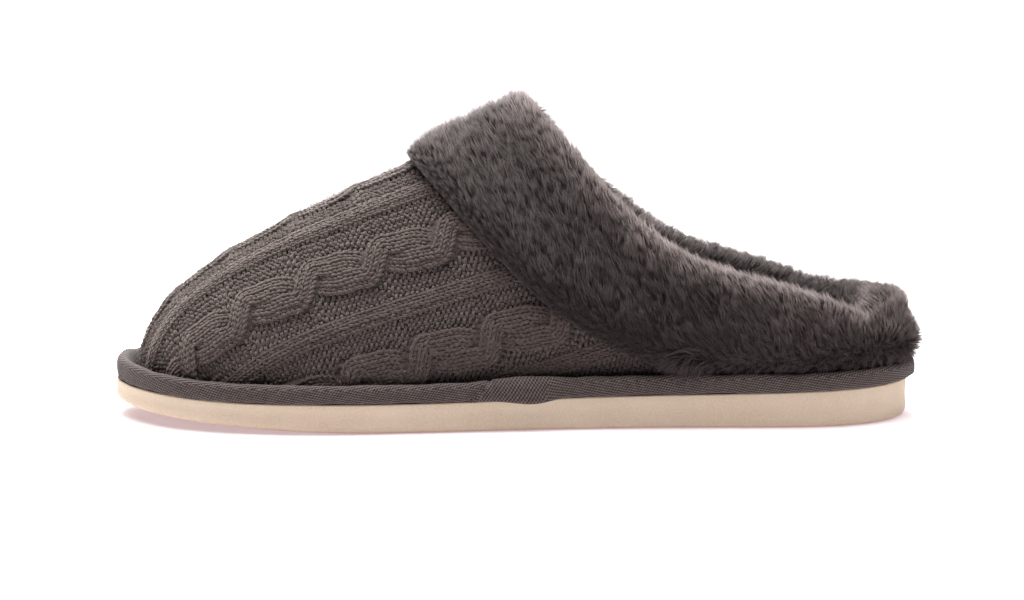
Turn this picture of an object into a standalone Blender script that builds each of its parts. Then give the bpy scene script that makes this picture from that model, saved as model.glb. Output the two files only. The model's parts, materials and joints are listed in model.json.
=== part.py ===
"""Knit house slipper for a right foot, empty, standing on its sole.

X runs from toe to heel, -Y is the inner side of the foot, Z is up and the floor is z = 0. Metres.
Every piece is lofted from one plan outline and one table of meridians: the lines that run over
the last, each from a point of the sole's edge up to a point of the collar.
"""

import math
from typing import NamedTuple

import bmesh
import bpy
import numpy as np

# Driving dimensions
SOLE_LENGTH = 0.260
TOE_X = -0.132
TOE_SPRING = 0.0055
TOE_SPRING_SHARE = 0.24
SOLE_EDGE_ROUND = 0.0022
SOLE_SETBACK = 0.0005
BINDING_WIDTH = 0.0056
BINDING_HEIGHT = 0.0058
BINDING_BULGE = 0.0008
BINDING_SQUARENESS = 2.6
UPPER_INSET = 0.0060
UPPER_WALL = 0.0040
INSOLE_THICKNESS = 0.0060
INSOLE_EDGE_ROUND = 0.0015
INSOLE_PLAY = 0.0012
CUFF_CAP = 0.0050
CUFF_LINING = 0.0040
CUFF_EDGE_ROUND = 0.0080
CUFF_EDGE_THICKNESS = 0.0012
GAP = 0.0004

# Facets round the shoe, along each meridian and round each profile
AROUND = 64
ROWS_BELOW_CUFF = 9
ROWS_UNDER_CUFF = 8
ROWS_OF_LINING = 3
CAP_STEPS = 5
BINDING_STEPS = 12
ROUND_STEPS = 3

# Times the cuff's lower edge is eased between neighbouring meridians
CUFF_EDGE_EASING = 3


class SoleRow(NamedTuple):
    """Half widths of the sole each side of the X axis, and the height of its top, at one station."""

    station: float  # share of the sole's length from the toe
    inner_half: float
    outer_half: float
    top: float


SOLE_ROWS = (
    SoleRow(0.03, 0.0227, 0.0215, 0.0113),
    SoleRow(0.08, 0.0358, 0.0335, 0.0106),
    SoleRow(0.16, 0.0450, 0.0420, 0.0098),
    SoleRow(0.27, 0.0485, 0.0472, 0.0096),
    SoleRow(0.40, 0.0453, 0.0485, 0.0096),
    SoleRow(0.58, 0.0388, 0.0430, 0.0104),
    SoleRow(0.76, 0.0363, 0.0385, 0.0111),
    SoleRow(0.92, 0.0315, 0.0318, 0.0120),
)


class Meridian(NamedTuple):
    """One line over the last, on either side, as a curve with a handle at each end."""

    station: float  # where it leaves the sole's edge
    collar_x: float  # where it reaches the collar
    collar_half: float
    collar_z: float
    outer_drop: float  # how much lower the collar is on the outer side
    rise: float  # length of the handle that goes up from the sole
    flare: float  # outward lean of that handle
    run: float  # length of the handle that arrives at the collar
    pitch: float  # its slope, in degrees
    lean: float  # its inward lean
    fur_low: float  # thickness of the cuff's fur outside the wall, near its lower edge
    fur_rim: float  # and at the rim


MERIDIANS = (
    Meridian(0.00, 0.0000, 0.0000, 0.0992, 0.0000, 0.035, 0.03, 0.088, 25, 0.00, 0.0046, 0.0058),
    Meridian(0.05, 0.0045, 0.0100, 0.0952, 0.0010, 0.034, 0.04, 0.084, 25, 0.05, 0.0048, 0.0058),
    Meridian(0.16, 0.0155, 0.0185, 0.0825, 0.0034, 0.030, 0.06, 0.070, 28, 0.14, 0.0050, 0.0060),
    Meridian(0.34, 0.0335, 0.0245, 0.0632, 0.0016, 0.024, 0.08, 0.048, 38, 0.24, 0.0056, 0.0060),
    Meridian(0.56, 0.0555, 0.0275, 0.0485, 0.0000, 0.017, 0.08, 0.024, 60, 0.22, 0.0064, 0.0060),
    Meridian(0.76, 0.0830, 0.0283, 0.0402, 0.0000, 0.011, 0.10, 0.011, 85, 0.14, 0.0072, 0.0062),
    Meridian(0.92, 0.1075, 0.0210, 0.0336, 0.0000, 0.009, 0.20, 0.008, 90, 0.16, 0.0088, 0.0074),
    Meridian(1.00, 0.1196, 0.0000, 0.0352, 0.0000, 0.009, 0.26, 0.008, 90, 0.20, 0.0096, 0.0080),
)


class CuffEdgeRow(NamedTuple):
    """A point of the cuff's lower edge, seen from the side."""

    x: float
    z: float


CUFF_EDGE_ROWS = (
    CuffEdgeRow(-0.0370, 0.0848),
    CuffEdgeRow(-0.0250, 0.0735),
    CuffEdgeRow(-0.0140, 0.0612),
    CuffEdgeRow(0.0115, 0.0372),
    CuffEdgeRow(0.0345, 0.0246),
    CuffEdgeRow(0.0560, 0.0160),
)


class Finish(NamedTuple):
    """Plain colour and roughness of one piece."""

    colour: tuple
    roughness: float


FOAM = Finish((0.78, 0.64, 0.48), 0.75)
TAPE = Finish((0.105, 0.095, 0.092), 0.85)
KNIT = Finish((0.085, 0.073, 0.067), 0.95)
FUR = Finish((0.066, 0.060, 0.058), 0.90)
PLUSH = Finish((0.070, 0.064, 0.061), 0.95)

ANGLES = np.arange(AROUND) * (2 * math.pi / AROUND)
FINE = 1e-4


class ClosedCurve:
    """A smooth function of the angle round the shoe, through given values."""

    def __init__(self, knots, values):
        order = np.argsort(knots)
        self.knots = np.asarray(knots, float)[order]
        self.values = np.asarray(values, float)[order]
        count = len(self.knots)
        self.spans = np.diff(np.append(self.knots, self.knots[0] + 2 * math.pi))
        chords = (np.roll(self.values, -1) - self.values) / self.spans
        system = np.zeros((count, count))
        right = np.zeros(count)
        for i in range(count):
            before, after = self.spans[i - 1], self.spans[i]
            system[i, i - 1] += after
            system[i, i] += 2 * (before + after)
            system[i, (i + 1) % count] += before
            right[i] = 3 * (after * chords[i - 1] + before * chords[i])
        self.slopes = np.linalg.solve(system, right)

    def __call__(self, angle):
        angle = self.knots[0] + (np.asarray(angle, float) - self.knots[0]) % (2 * math.pi)
        i = np.searchsorted(self.knots, angle, side="right") - 1
        j = (i + 1) % len(self.knots)
        span = self.spans[i]
        t = (angle - self.knots[i]) / span
        rise = self.values[j] - self.values[i]
        start, end = self.slopes[i] * span, self.slopes[j] * span
        bend = 3 * rise - 2 * start - end
        twist = start + end - 2 * rise
        return self.values[i] + t * (start + t * (bend + t * twist))


def angle_of(station):
    """The angle round the shoe, from the toe along the inner side, at a share of the sole's length."""
    return math.acos(1 - 2 * station)


def both_sides(rows, column, sign=1):
    """A column of a table as a closed curve that is mirrored, with this sign, on the outer side."""
    knots, values = [], []
    for row in rows:
        angle = angle_of(row.station)
        value = getattr(row, column)
        knots.append(angle)
        values.append(value)
        if 0 < row.station < 1:
            knots.append(2 * math.pi - angle)
            values.append(sign * value)
    return ClosedCurve(knots, values)


def sole_fullness():
    """Half width over the sine of the angle, which stays smooth round both ends of the sole."""
    knots, values = [], []
    for row in SOLE_ROWS:
        angle = angle_of(row.station)
        knots += [angle, 2 * math.pi - angle]
        values += [row.inner_half / math.sin(angle), row.outer_half / math.sin(angle)]
    return ClosedCurve(knots, values)


FULLNESS = sole_fullness()
SOLE_TOP = both_sides(SOLE_ROWS, "top")
COLLAR_X = both_sides(MERIDIANS, "collar_x")
COLLAR_HALF = both_sides(MERIDIANS, "collar_half", sign=-1)
COLLAR_Z = both_sides(MERIDIANS, "collar_z")
OUTER_DROP = both_sides(MERIDIANS, "outer_drop")
RISE = both_sides(MERIDIANS, "rise")
FLARE = both_sides(MERIDIANS, "flare")
RUN = both_sides(MERIDIANS, "run")
PITCH = both_sides(MERIDIANS, "pitch")
LEAN = both_sides(MERIDIANS, "lean")
FUR_LOW = both_sides(MERIDIANS, "fur_low")
FUR_RIM = both_sides(MERIDIANS, "fur_rim")


def unit(vectors):
    return vectors / np.linalg.norm(vectors, axis=-1, keepdims=True)


def edge_point(angle):
    """The sole's edge in plan, at height 0."""
    x = TOE_X + SOLE_LENGTH * (1 - np.cos(angle)) / 2
    y = -FULLNESS(angle) * np.sin(angle)
    return np.stack([x, y, np.zeros_like(x)], axis=-1)


def edge_normal(angle):
    """The outward direction of the sole's edge in plan."""
    along = edge_point(angle + FINE) - edge_point(angle - FINE)
    return unit(np.stack([along[..., 1], -along[..., 0], np.zeros_like(angle)], axis=-1))


def inset_ring(angle, inset):
    """The sole's edge moved inwards."""
    return edge_point(angle) - edge_normal(angle) * inset


def last_point(angle, v):
    """The outside of the upper, at an angle round the shoe and a share of the meridian from sole to collar."""
    up = np.array([0.0, 0.0, 1.0])
    back = np.array([1.0, 0.0, 0.0])
    outward = edge_normal(angle)
    foot = inset_ring(angle, UPPER_INSET) + up * (SOLE_TOP(angle) + GAP)[..., None]
    on_outer_side = 0.5 - 0.5 * np.tanh(4 * np.sin(angle))
    collar_z = COLLAR_Z(angle) - OUTER_DROP(angle) * on_outer_side
    collar = np.stack([COLLAR_X(angle), -COLLAR_HALF(angle), collar_z], axis=-1)
    leaving = up + outward * FLARE(angle)[..., None]
    slope = np.radians(PITCH(angle))[..., None]
    arriving = unit(back * np.cos(slope) + up * np.sin(slope) - outward * LEAN(angle)[..., None])
    first = foot + leaving * RISE(angle)[..., None]
    second = collar - arriving * RUN(angle)[..., None]
    v = np.asarray(v)[..., None]
    w = 1 - v
    return w**3 * foot + 3 * w**2 * v * first + 3 * w * v**2 * second + v**3 * collar


def last_frame(angle, v):
    """Unit outward normal and unit direction towards the collar, on the outside of the upper."""
    across = last_point(angle + FINE, v) - last_point(angle - FINE, v)
    along = last_point(angle, v + FINE) - last_point(angle, v - FINE)
    return unit(np.cross(across, along)), unit(along)


def cuff_edge_height(x, floor):
    """Height of the cuff's lower edge at x, and no lower than the top of the binding."""
    height = np.interp(x, [row.x for row in CUFF_EDGE_ROWS], [row.z for row in CUFF_EDGE_ROWS])
    return np.maximum(height, floor)


def cuff_start(angle):
    """Share of the meridian at which the cuff begins."""
    shares = np.linspace(0, 1, 201)
    line = last_point(np.full_like(shares, angle), shares)
    floor = SOLE_TOP(angle) + BINDING_HEIGHT + 2 * GAP
    above = line[:, 2] - cuff_edge_height(line[:, 0], floor)
    return np.interp(0.0, above, shares)


def meridian_shares():
    """Shares of every meridian at which the upper has a row: (row, angle)."""
    start = np.array([cuff_start(angle) for angle in ANGLES])
    for _ in range(CUFF_EDGE_EASING):
        start = (np.roll(start, 1) + 2 * start + np.roll(start, -1)) / 4
    below = np.linspace(0, 1, ROWS_BELOW_CUFF + 1)[:-1, None] * start
    under = start + np.linspace(0, 1, ROWS_UNDER_CUFF + 1)[:, None] * (1 - start)
    return np.concatenate([below, under])


SHARES = meridian_shares()
ROW_ANGLES = np.broadcast_to(ANGLES, SHARES.shape)
OUTSIDE = last_point(ROW_ANGLES, SHARES)
NORMALS, UPWARD = last_frame(ROW_ANGLES, SHARES)


def clear_scene():
    for old in list(bpy.data.objects):
        bpy.data.objects.remove(old)


def material(name, finish):
    made = bpy.data.materials.new(name)
    made.use_nodes = True
    shader = made.node_tree.nodes["Principled BSDF"]
    shader.inputs["Base Color"].default_value = (*finish.colour, 1.0)
    shader.inputs["Roughness"].default_value = finish.roughness
    shader.inputs["Metallic"].default_value = 0.0
    return made


def place(name, mesh_in_progress, finish, parent):
    """Turns a bmesh into a smooth-shaded object under the parent empty."""
    bmesh.ops.recalc_face_normals(mesh_in_progress, faces=mesh_in_progress.faces)
    mesh = bpy.data.meshes.new(name)
    mesh_in_progress.to_mesh(mesh)
    mesh_in_progress.free()
    mesh.shade_smooth()
    mesh.set_sharp_from_angle(angle=math.radians(40))
    mesh.materials.append(material(name, finish))
    made = bpy.data.objects.new(name, mesh)
    made.parent = parent
    bpy.context.collection.objects.link(made)
    return made


def loft(rings, closed):
    """A bmesh through rings of points, and its rings of vertices. If closed, the last ring joins the first."""
    made = bmesh.new()
    loops = [[made.verts.new(point) for point in ring] for ring in rings]
    pairs = list(zip(loops, loops[1:]))
    if closed:
        pairs.append((loops[-1], loops[0]))
    for low, high in pairs:
        for i in range(AROUND):
            j = (i + 1) % AROUND
            made.faces.new((low[i], low[j], high[j], high[i]))
    return made, loops


def close_with_rungs(made, loop):
    """Fills a ring with strips that run straight across from the inner to the outer side."""
    half = AROUND // 2
    made.faces.new((loop[0], loop[1], loop[-1]))
    for i in range(1, half - 1):
        made.faces.new((loop[i], loop[i + 1], loop[AROUND - i - 1], loop[AROUND - i]))
    made.faces.new((loop[half - 1], loop[half], loop[half + 1]))


def raised(ring, height):
    lifted = ring.copy()
    lifted[:, 2] = height
    return lifted


def quarter_round(radius):
    """Steps of a quarter circle, as (distance from the side, distance from the flat)."""
    for step in range(ROUND_STEPS + 1):
        turn = math.pi / 2 * step / ROUND_STEPS
        yield radius * (1 - math.sin(turn)), radius * (1 - math.cos(turn))


def floor_height(x):
    """Height of the sole's underside: flat, with the toe sprung up."""
    share = (x - TOE_X) / SOLE_LENGTH
    return TOE_SPRING * np.maximum(0, 1 - share / TOE_SPRING_SHARE) ** 2


def build_outsole(parent):
    """A foam slab with an upright side, a rounded lower edge and a sprung toe."""
    rings = []
    for from_side, from_flat in quarter_round(SOLE_EDGE_ROUND):
        ring = inset_ring(ANGLES, SOLE_SETBACK + from_side)
        rings.append(raised(ring, floor_height(ring[:, 0]) + from_flat))
    rings.append(raised(inset_ring(ANGLES, SOLE_SETBACK), SOLE_TOP(ANGLES)))
    made, loops = loft(rings, closed=False)
    close_with_rungs(made, loops[0])
    close_with_rungs(made, loops[-1])
    return place("outsole", made, FOAM, parent)


def build_binding(parent):
    """A rounded band on the sole's edge, the outside of the rolled tape."""
    rings = []
    for step in range(BINDING_STEPS):
        turn = 2 * math.pi * (step + 0.5) / BINDING_STEPS
        sideways, upwards = math.cos(turn), math.sin(turn)
        squared = 2 / BINDING_SQUARENESS
        across = math.copysign(abs(sideways) ** squared, sideways)
        along = math.copysign(abs(upwards) ** squared, upwards)
        inset = BINDING_WIDTH / 2 * (1 + across) - BINDING_BULGE
        height = BINDING_HEIGHT / 2 * (1 + along) + GAP
        rings.append(raised(inset_ring(ANGLES, inset), SOLE_TOP(ANGLES) + height))
    made, _ = loft(rings, closed=True)
    return place("binding", made, TAPE, parent)


def build_insole(parent):
    """A padded footbed inside the upper, with a rounded upper edge."""
    inset = UPPER_INSET + UPPER_WALL + INSOLE_PLAY
    bottom = SOLE_TOP(ANGLES) + GAP
    rings = [raised(inset_ring(ANGLES, inset), bottom)]
    for from_side, from_flat in reversed(list(quarter_round(INSOLE_EDGE_ROUND))):
        height = bottom + INSOLE_THICKNESS - from_flat
        rings.append(raised(inset_ring(ANGLES, inset + from_side), height))
    made, loops = loft(rings, closed=False)
    close_with_rungs(made, loops[0])
    close_with_rungs(made, loops[-1])
    return place("insole", made, PLUSH, parent)


def build_upper(parent):
    """The knit wall: the last's outside and its inside, joined round the collar and underneath."""
    inside = OUTSIDE - NORMALS * UPPER_WALL
    inside[0] = raised(inset_ring(ANGLES, UPPER_INSET + UPPER_WALL), OUTSIDE[0, :, 2])
    made, _ = loft([*OUTSIDE, *inside[::-1]], closed=True)
    return place("upper", made, KNIT, parent)


def build_fur_cuff(parent):
    """The fur band: down the outside of the wall, over its rim and a little way down the inside."""
    first = ROWS_BELOW_CUFF
    wall, normals = OUTSIDE[first:], NORMALS[first:]
    rim, rim_normal, rim_up = wall[-1], normals[-1], UPWARD[-1]
    steps = np.linalg.norm(np.diff(wall, axis=0), axis=2)
    from_edge = np.concatenate([np.zeros((1, AROUND)), np.cumsum(steps, axis=0)])
    rounding = np.sqrt(1 - (1 - np.minimum(1, from_edge / CUFF_EDGE_ROUND)) ** 2)
    share = from_edge / from_edge[-1]
    fur = FUR_LOW(ANGLES) * (1 - share) + FUR_RIM(ANGLES) * share
    depth = np.maximum(CUFF_EDGE_THICKNESS, fur * rounding)
    inner_face = UPPER_WALL + GAP
    outside = list(wall + normals * (GAP + depth)[..., None])
    middle = (depth[-1] - UPPER_WALL - CUFF_LINING) / 2
    reach = (depth[-1] + UPPER_WALL + CUFF_LINING) / 2 + GAP
    cap = []
    for step in range(1, CAP_STEPS):
        turn = math.pi * step / CAP_STEPS
        sideways = middle + reach * math.cos(turn)
        upwards = GAP + CUFF_CAP * math.sin(turn)
        cap.append(rim + rim_normal * sideways[:, None] + rim_up * upwards)
    lining, against_wall = [], []
    for row in range(ROWS_OF_LINING + 1):
        taper = math.sqrt(1 - (row / (ROWS_OF_LINING + 1)) ** 2)
        place_on_wall, normal = wall[-1 - row], normals[-1 - row]
        lining.append(place_on_wall - normal * (inner_face + CUFF_LINING * taper))
        against_wall.append(place_on_wall - normal * inner_face)
    over_rim = [rim - rim_normal * inner_face + rim_up * GAP, rim + (rim_normal + rim_up) * GAP]
    against_outside = list((wall + normals * GAP)[::-1])
    section = outside + cap + lining + against_wall[::-1] + over_rim + against_outside
    made, _ = loft(section, closed=True)
    return place("fur_cuff", made, FUR, parent)


def main():
    clear_scene()
    slipper = bpy.data.objects.new("slipper", None)
    bpy.context.collection.objects.link(slipper)
    build_outsole(slipper)
    build_binding(slipper)
    build_insole(slipper)
    build_upper(slipper)
    build_fur_cuff(slipper)


main()
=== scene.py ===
"""Looks of a cable-knit house slipper with a fur cuff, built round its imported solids.

X runs from toe to heel, -Y is the inner side of the foot and the side that the camera sees, Z is up.
Lengths are metres. The shoe is described by an angle round it, 0 at the toe and pi at the heel along
the inner side, and by a share of the way from the sole's edge up to the collar.
"""

import json
import logging
import math
from dataclasses import dataclass, field
from enum import Enum
from typing import NamedTuple

import bpy
import numpy as np
from bpy.types import Collection, ID, Material, Mesh, Node, NodeOutputs, NodeSocket, NodeTree, Object
from mathutils import Matrix

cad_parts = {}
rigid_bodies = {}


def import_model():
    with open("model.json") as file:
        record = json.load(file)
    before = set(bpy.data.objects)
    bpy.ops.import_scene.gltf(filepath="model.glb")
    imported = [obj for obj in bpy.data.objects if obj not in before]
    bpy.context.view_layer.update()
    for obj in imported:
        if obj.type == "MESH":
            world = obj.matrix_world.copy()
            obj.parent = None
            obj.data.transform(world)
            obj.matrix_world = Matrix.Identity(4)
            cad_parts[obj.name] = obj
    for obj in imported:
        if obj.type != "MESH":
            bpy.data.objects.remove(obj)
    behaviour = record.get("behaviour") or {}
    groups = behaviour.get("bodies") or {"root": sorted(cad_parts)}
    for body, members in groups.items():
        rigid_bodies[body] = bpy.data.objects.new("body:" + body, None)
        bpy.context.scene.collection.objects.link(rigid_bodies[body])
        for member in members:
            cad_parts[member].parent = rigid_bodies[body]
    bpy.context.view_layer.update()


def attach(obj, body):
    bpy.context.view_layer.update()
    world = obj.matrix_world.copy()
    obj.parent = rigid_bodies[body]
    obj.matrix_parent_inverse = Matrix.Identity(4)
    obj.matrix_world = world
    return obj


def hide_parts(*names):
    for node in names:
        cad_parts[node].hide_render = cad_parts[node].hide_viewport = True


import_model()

LOG = logging.getLogger("slipper")
BODY = "root"
FINE = 1e-4
TINY = 1e-12
TINY_CELL = 0.001
LUMP_WAVES = (0.6, 1.5)
RANDOM_SOCKETS = {"FLOAT_VECTOR": (0, 1, 0), "FLOAT": (2, 3, 1), "INT": (4, 5, 2)}
MIX_SOCKETS = (6, 7)
FULL_TURN = 2 * math.pi
UP = np.array([0.0, 0.0, 1.0])
BACK = np.array([1.0, 0.0, 0.0])

Array = np.ndarray
Colour = tuple[float, float, float]


class Slot(Enum):
    """Material slots of the record."""

    FOAM = "foam"
    TAPE = "tape"
    PLUSH = "plush"
    KNIT = "knit"
    FUR = "fur"


class Band(Enum):
    """Kinds of band in the knit."""

    CABLE = "cable"
    RIB = "rib"


class SoleRow(NamedTuple):
    """Half widths of the sole each side of the X axis, and the height of its top, at one station."""

    station: float
    inner_half: float
    outer_half: float
    top: float


class Meridian(NamedTuple):
    """One line over the last, on either side, as a curve with a handle at each end."""

    station: float
    collar_x: float
    collar_half: float
    collar_z: float
    outer_drop: float
    rise: float
    flare: float
    run: float
    pitch: float
    lean: float
    fur_low: float
    fur_rim: float


class CuffEdgeRow(NamedTuple):
    """A point of the cuff's lower edge, seen from the side."""

    x: float
    z: float


class BandRow(NamedTuple):
    """A band of knit stitches that runs from toe to cuff, at a distance round from the top line."""

    kind: Band
    centre: float
    wales: int


SOLE_ROWS = (
    SoleRow(0.03, 0.0227, 0.0215, 0.0113),
    SoleRow(0.08, 0.0358, 0.0335, 0.0106),
    SoleRow(0.16, 0.0450, 0.0420, 0.0098),
    SoleRow(0.27, 0.0485, 0.0472, 0.0096),
    SoleRow(0.40, 0.0453, 0.0485, 0.0096),
    SoleRow(0.58, 0.0388, 0.0430, 0.0104),
    SoleRow(0.76, 0.0363, 0.0385, 0.0111),
    SoleRow(0.92, 0.0315, 0.0318, 0.0120),
)

MERIDIANS = (
    Meridian(0.00, 0.0000, 0.0000, 0.0992, 0.0000, 0.035, 0.03, 0.088, 25, 0.00, 0.0046, 0.0058),
    Meridian(0.05, 0.0045, 0.0100, 0.0952, 0.0010, 0.034, 0.04, 0.084, 25, 0.05, 0.0048, 0.0058),
    Meridian(0.16, 0.0155, 0.0185, 0.0825, 0.0034, 0.030, 0.06, 0.070, 28, 0.14, 0.0050, 0.0060),
    Meridian(0.34, 0.0335, 0.0245, 0.0632, 0.0004, 0.024, 0.08, 0.048, 38, 0.24, 0.0056, 0.0060),
    Meridian(0.56, 0.0555, 0.0275, 0.0485, -0.0012, 0.017, 0.08, 0.024, 60, 0.22, 0.0064, 0.0060),
    Meridian(0.76, 0.0830, 0.0283, 0.0400, -0.0012, 0.011, 0.10, 0.011, 85, 0.14, 0.0072, 0.0062),
    Meridian(0.905, 0.1049, 0.0229, 0.0316, -0.0032, 0.009, 0.195, 0.008, 90, 0.155, 0.0092, 0.0073),
    Meridian(0.935, 0.1100, 0.0190, 0.0294, -0.0052, 0.009, 0.208, 0.008, 90, 0.168, 0.0100, 0.0075),
    Meridian(0.965, 0.1145, 0.0140, 0.0334, -0.0012, 0.009, 0.23, 0.008, 90, 0.185, 0.0109, 0.0077),
    Meridian(1.00, 0.1190, 0.0000, 0.0346, 0.0000, 0.009, 0.26, 0.008, 90, 0.20, 0.0118, 0.0078),
)

CUFF_EDGE_ROWS = (
    CuffEdgeRow(-0.0370, 0.0848),
    CuffEdgeRow(-0.0250, 0.0735),
    CuffEdgeRow(-0.0140, 0.0612),
    CuffEdgeRow(0.0115, 0.0372),
    CuffEdgeRow(0.0345, 0.0246),
    CuffEdgeRow(0.0560, 0.0160),
)

YARN_SIDES = 4
YARN_STATIONS = ((-0.34, 0.90), (0.0, 1.0), (0.34, 0.90))
YARN_BEND = -0.62
YARN_END_DROP = -0.80

BAND_ROWS = (
    BandRow(Band.CABLE, 0.0000, 6),
    BandRow(Band.RIB, 0.0195, 3),
    BandRow(Band.CABLE, 0.0395, 6),
    BandRow(Band.RIB, 0.0574, 3),
    BandRow(Band.CABLE, 0.0756, 6),
    BandRow(Band.RIB, 0.0905, 3),
)


def unit(vectors: Array) -> Array:
    """Vectors of length 1 along the last axis."""
    return vectors / np.maximum(np.linalg.norm(vectors, axis=-1, keepdims=True), TINY)


def smooth_step(values: Array) -> Array:
    """An eased ramp from 0 at 0 to 1 at 1."""
    t = np.clip(values, 0.0, 1.0)
    return t * t * (3 - 2 * t)


def soft_lumps(points: Array, size: float, seed: int, waves: int = 7) -> Array:
    """Gentle unevenness, from -1 to 1, that changes over about this distance.

    Args:
        points: Places in the shoe's frame, three numbers each.
        size: Distance from one lump to the next.
        seed: Seed of the waves' directions.
        waves: Number of waves added up.

    Returns:
        One value for each place.
    """
    draw = np.random.default_rng(seed)
    total = np.zeros(points.shape[:-1])
    for _ in range(waves):
        direction = unit(draw.normal(size=3)) * draw.uniform(*LUMP_WAVES) * FULL_TURN / size
        total += np.sin(points @ direction + draw.uniform(0, FULL_TURN))
    return total / math.sqrt(waves * 2)


class ClosedCurve:
    """A smooth function of the angle round the shoe, through given values."""

    def __init__(self, knots: list[float], values: list[float]) -> None:
        """Solves for the slopes at the knots.

        Args:
            knots: Angles at which the values are given.
            values: The values there.
        """
        order = np.argsort(knots)
        self.knots = np.asarray(knots, float)[order]
        self.values = np.asarray(values, float)[order]
        count = len(self.knots)
        self.spans = np.diff(np.append(self.knots, self.knots[0] + FULL_TURN))
        chords = (np.roll(self.values, -1) - self.values) / self.spans
        system = np.zeros((count, count))
        right = np.zeros(count)
        for i in range(count):
            before, after = self.spans[i - 1], self.spans[i]
            system[i, i - 1] += after
            system[i, i] += 2 * (before + after)
            system[i, (i + 1) % count] += before
            right[i] = 3 * (after * chords[i - 1] + before * chords[i])
        self.slopes = np.linalg.solve(system, right)

    def __call__(self, angle: Array) -> Array:
        """The value at each angle.

        Args:
            angle: Angles round the shoe.

        Returns:
            One value for each angle.
        """
        angle = self.knots[0] + (np.asarray(angle, float) - self.knots[0]) % FULL_TURN
        i = np.searchsorted(self.knots, angle, side="right") - 1
        j = (i + 1) % len(self.knots)
        span = self.spans[i]
        t = (angle - self.knots[i]) / span
        rise = self.values[j] - self.values[i]
        start, end = self.slopes[i] * span, self.slopes[j] * span
        bend = 3 * rise - 2 * start - end
        twist = start + end - 2 * rise
        return self.values[i] + t * (start + t * (bend + t * twist))


def angle_of(station: float) -> float:
    """The angle round the shoe at a share of the sole's length."""
    return math.acos(1 - 2 * station)


def ring_angles(count: int) -> Array:
    """Angles spread evenly round the shoe, from the toe."""
    return np.arange(count) * FULL_TURN / count


def turn_from_toe(angles: Array) -> Array:
    """How far round from the toe each angle is, on either side."""
    return np.minimum(angles, FULL_TURN - angles)


def bell(distance: Array, reach: float) -> Array:
    """A smooth hump: 1 at distance 0, all but gone at twice the reach."""
    return np.exp(-((distance / reach) ** 2))


def run_length(points: Array) -> Array:
    """Distance gone along a line of points, at each of them."""
    return np.concatenate([[0.0], np.cumsum(np.linalg.norm(np.diff(points, axis=0), axis=1))])


def both_sides(rows: tuple, column: str, sign: int = 1) -> ClosedCurve:
    """A column of a table as a closed curve.

    Args:
        rows: The table.
        column: Name of the column.
        sign: Sign of the values on the outer side.

    Returns:
        The column as a function of the angle, mirrored on the outer side.
    """
    knots, values = [], []
    for row in rows:
        angle = angle_of(row.station)
        knots.append(angle)
        values.append(getattr(row, column))
        if 0 < row.station < 1:
            knots.append(FULL_TURN - angle)
            values.append(sign * getattr(row, column))
    return ClosedCurve(knots, values)


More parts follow.
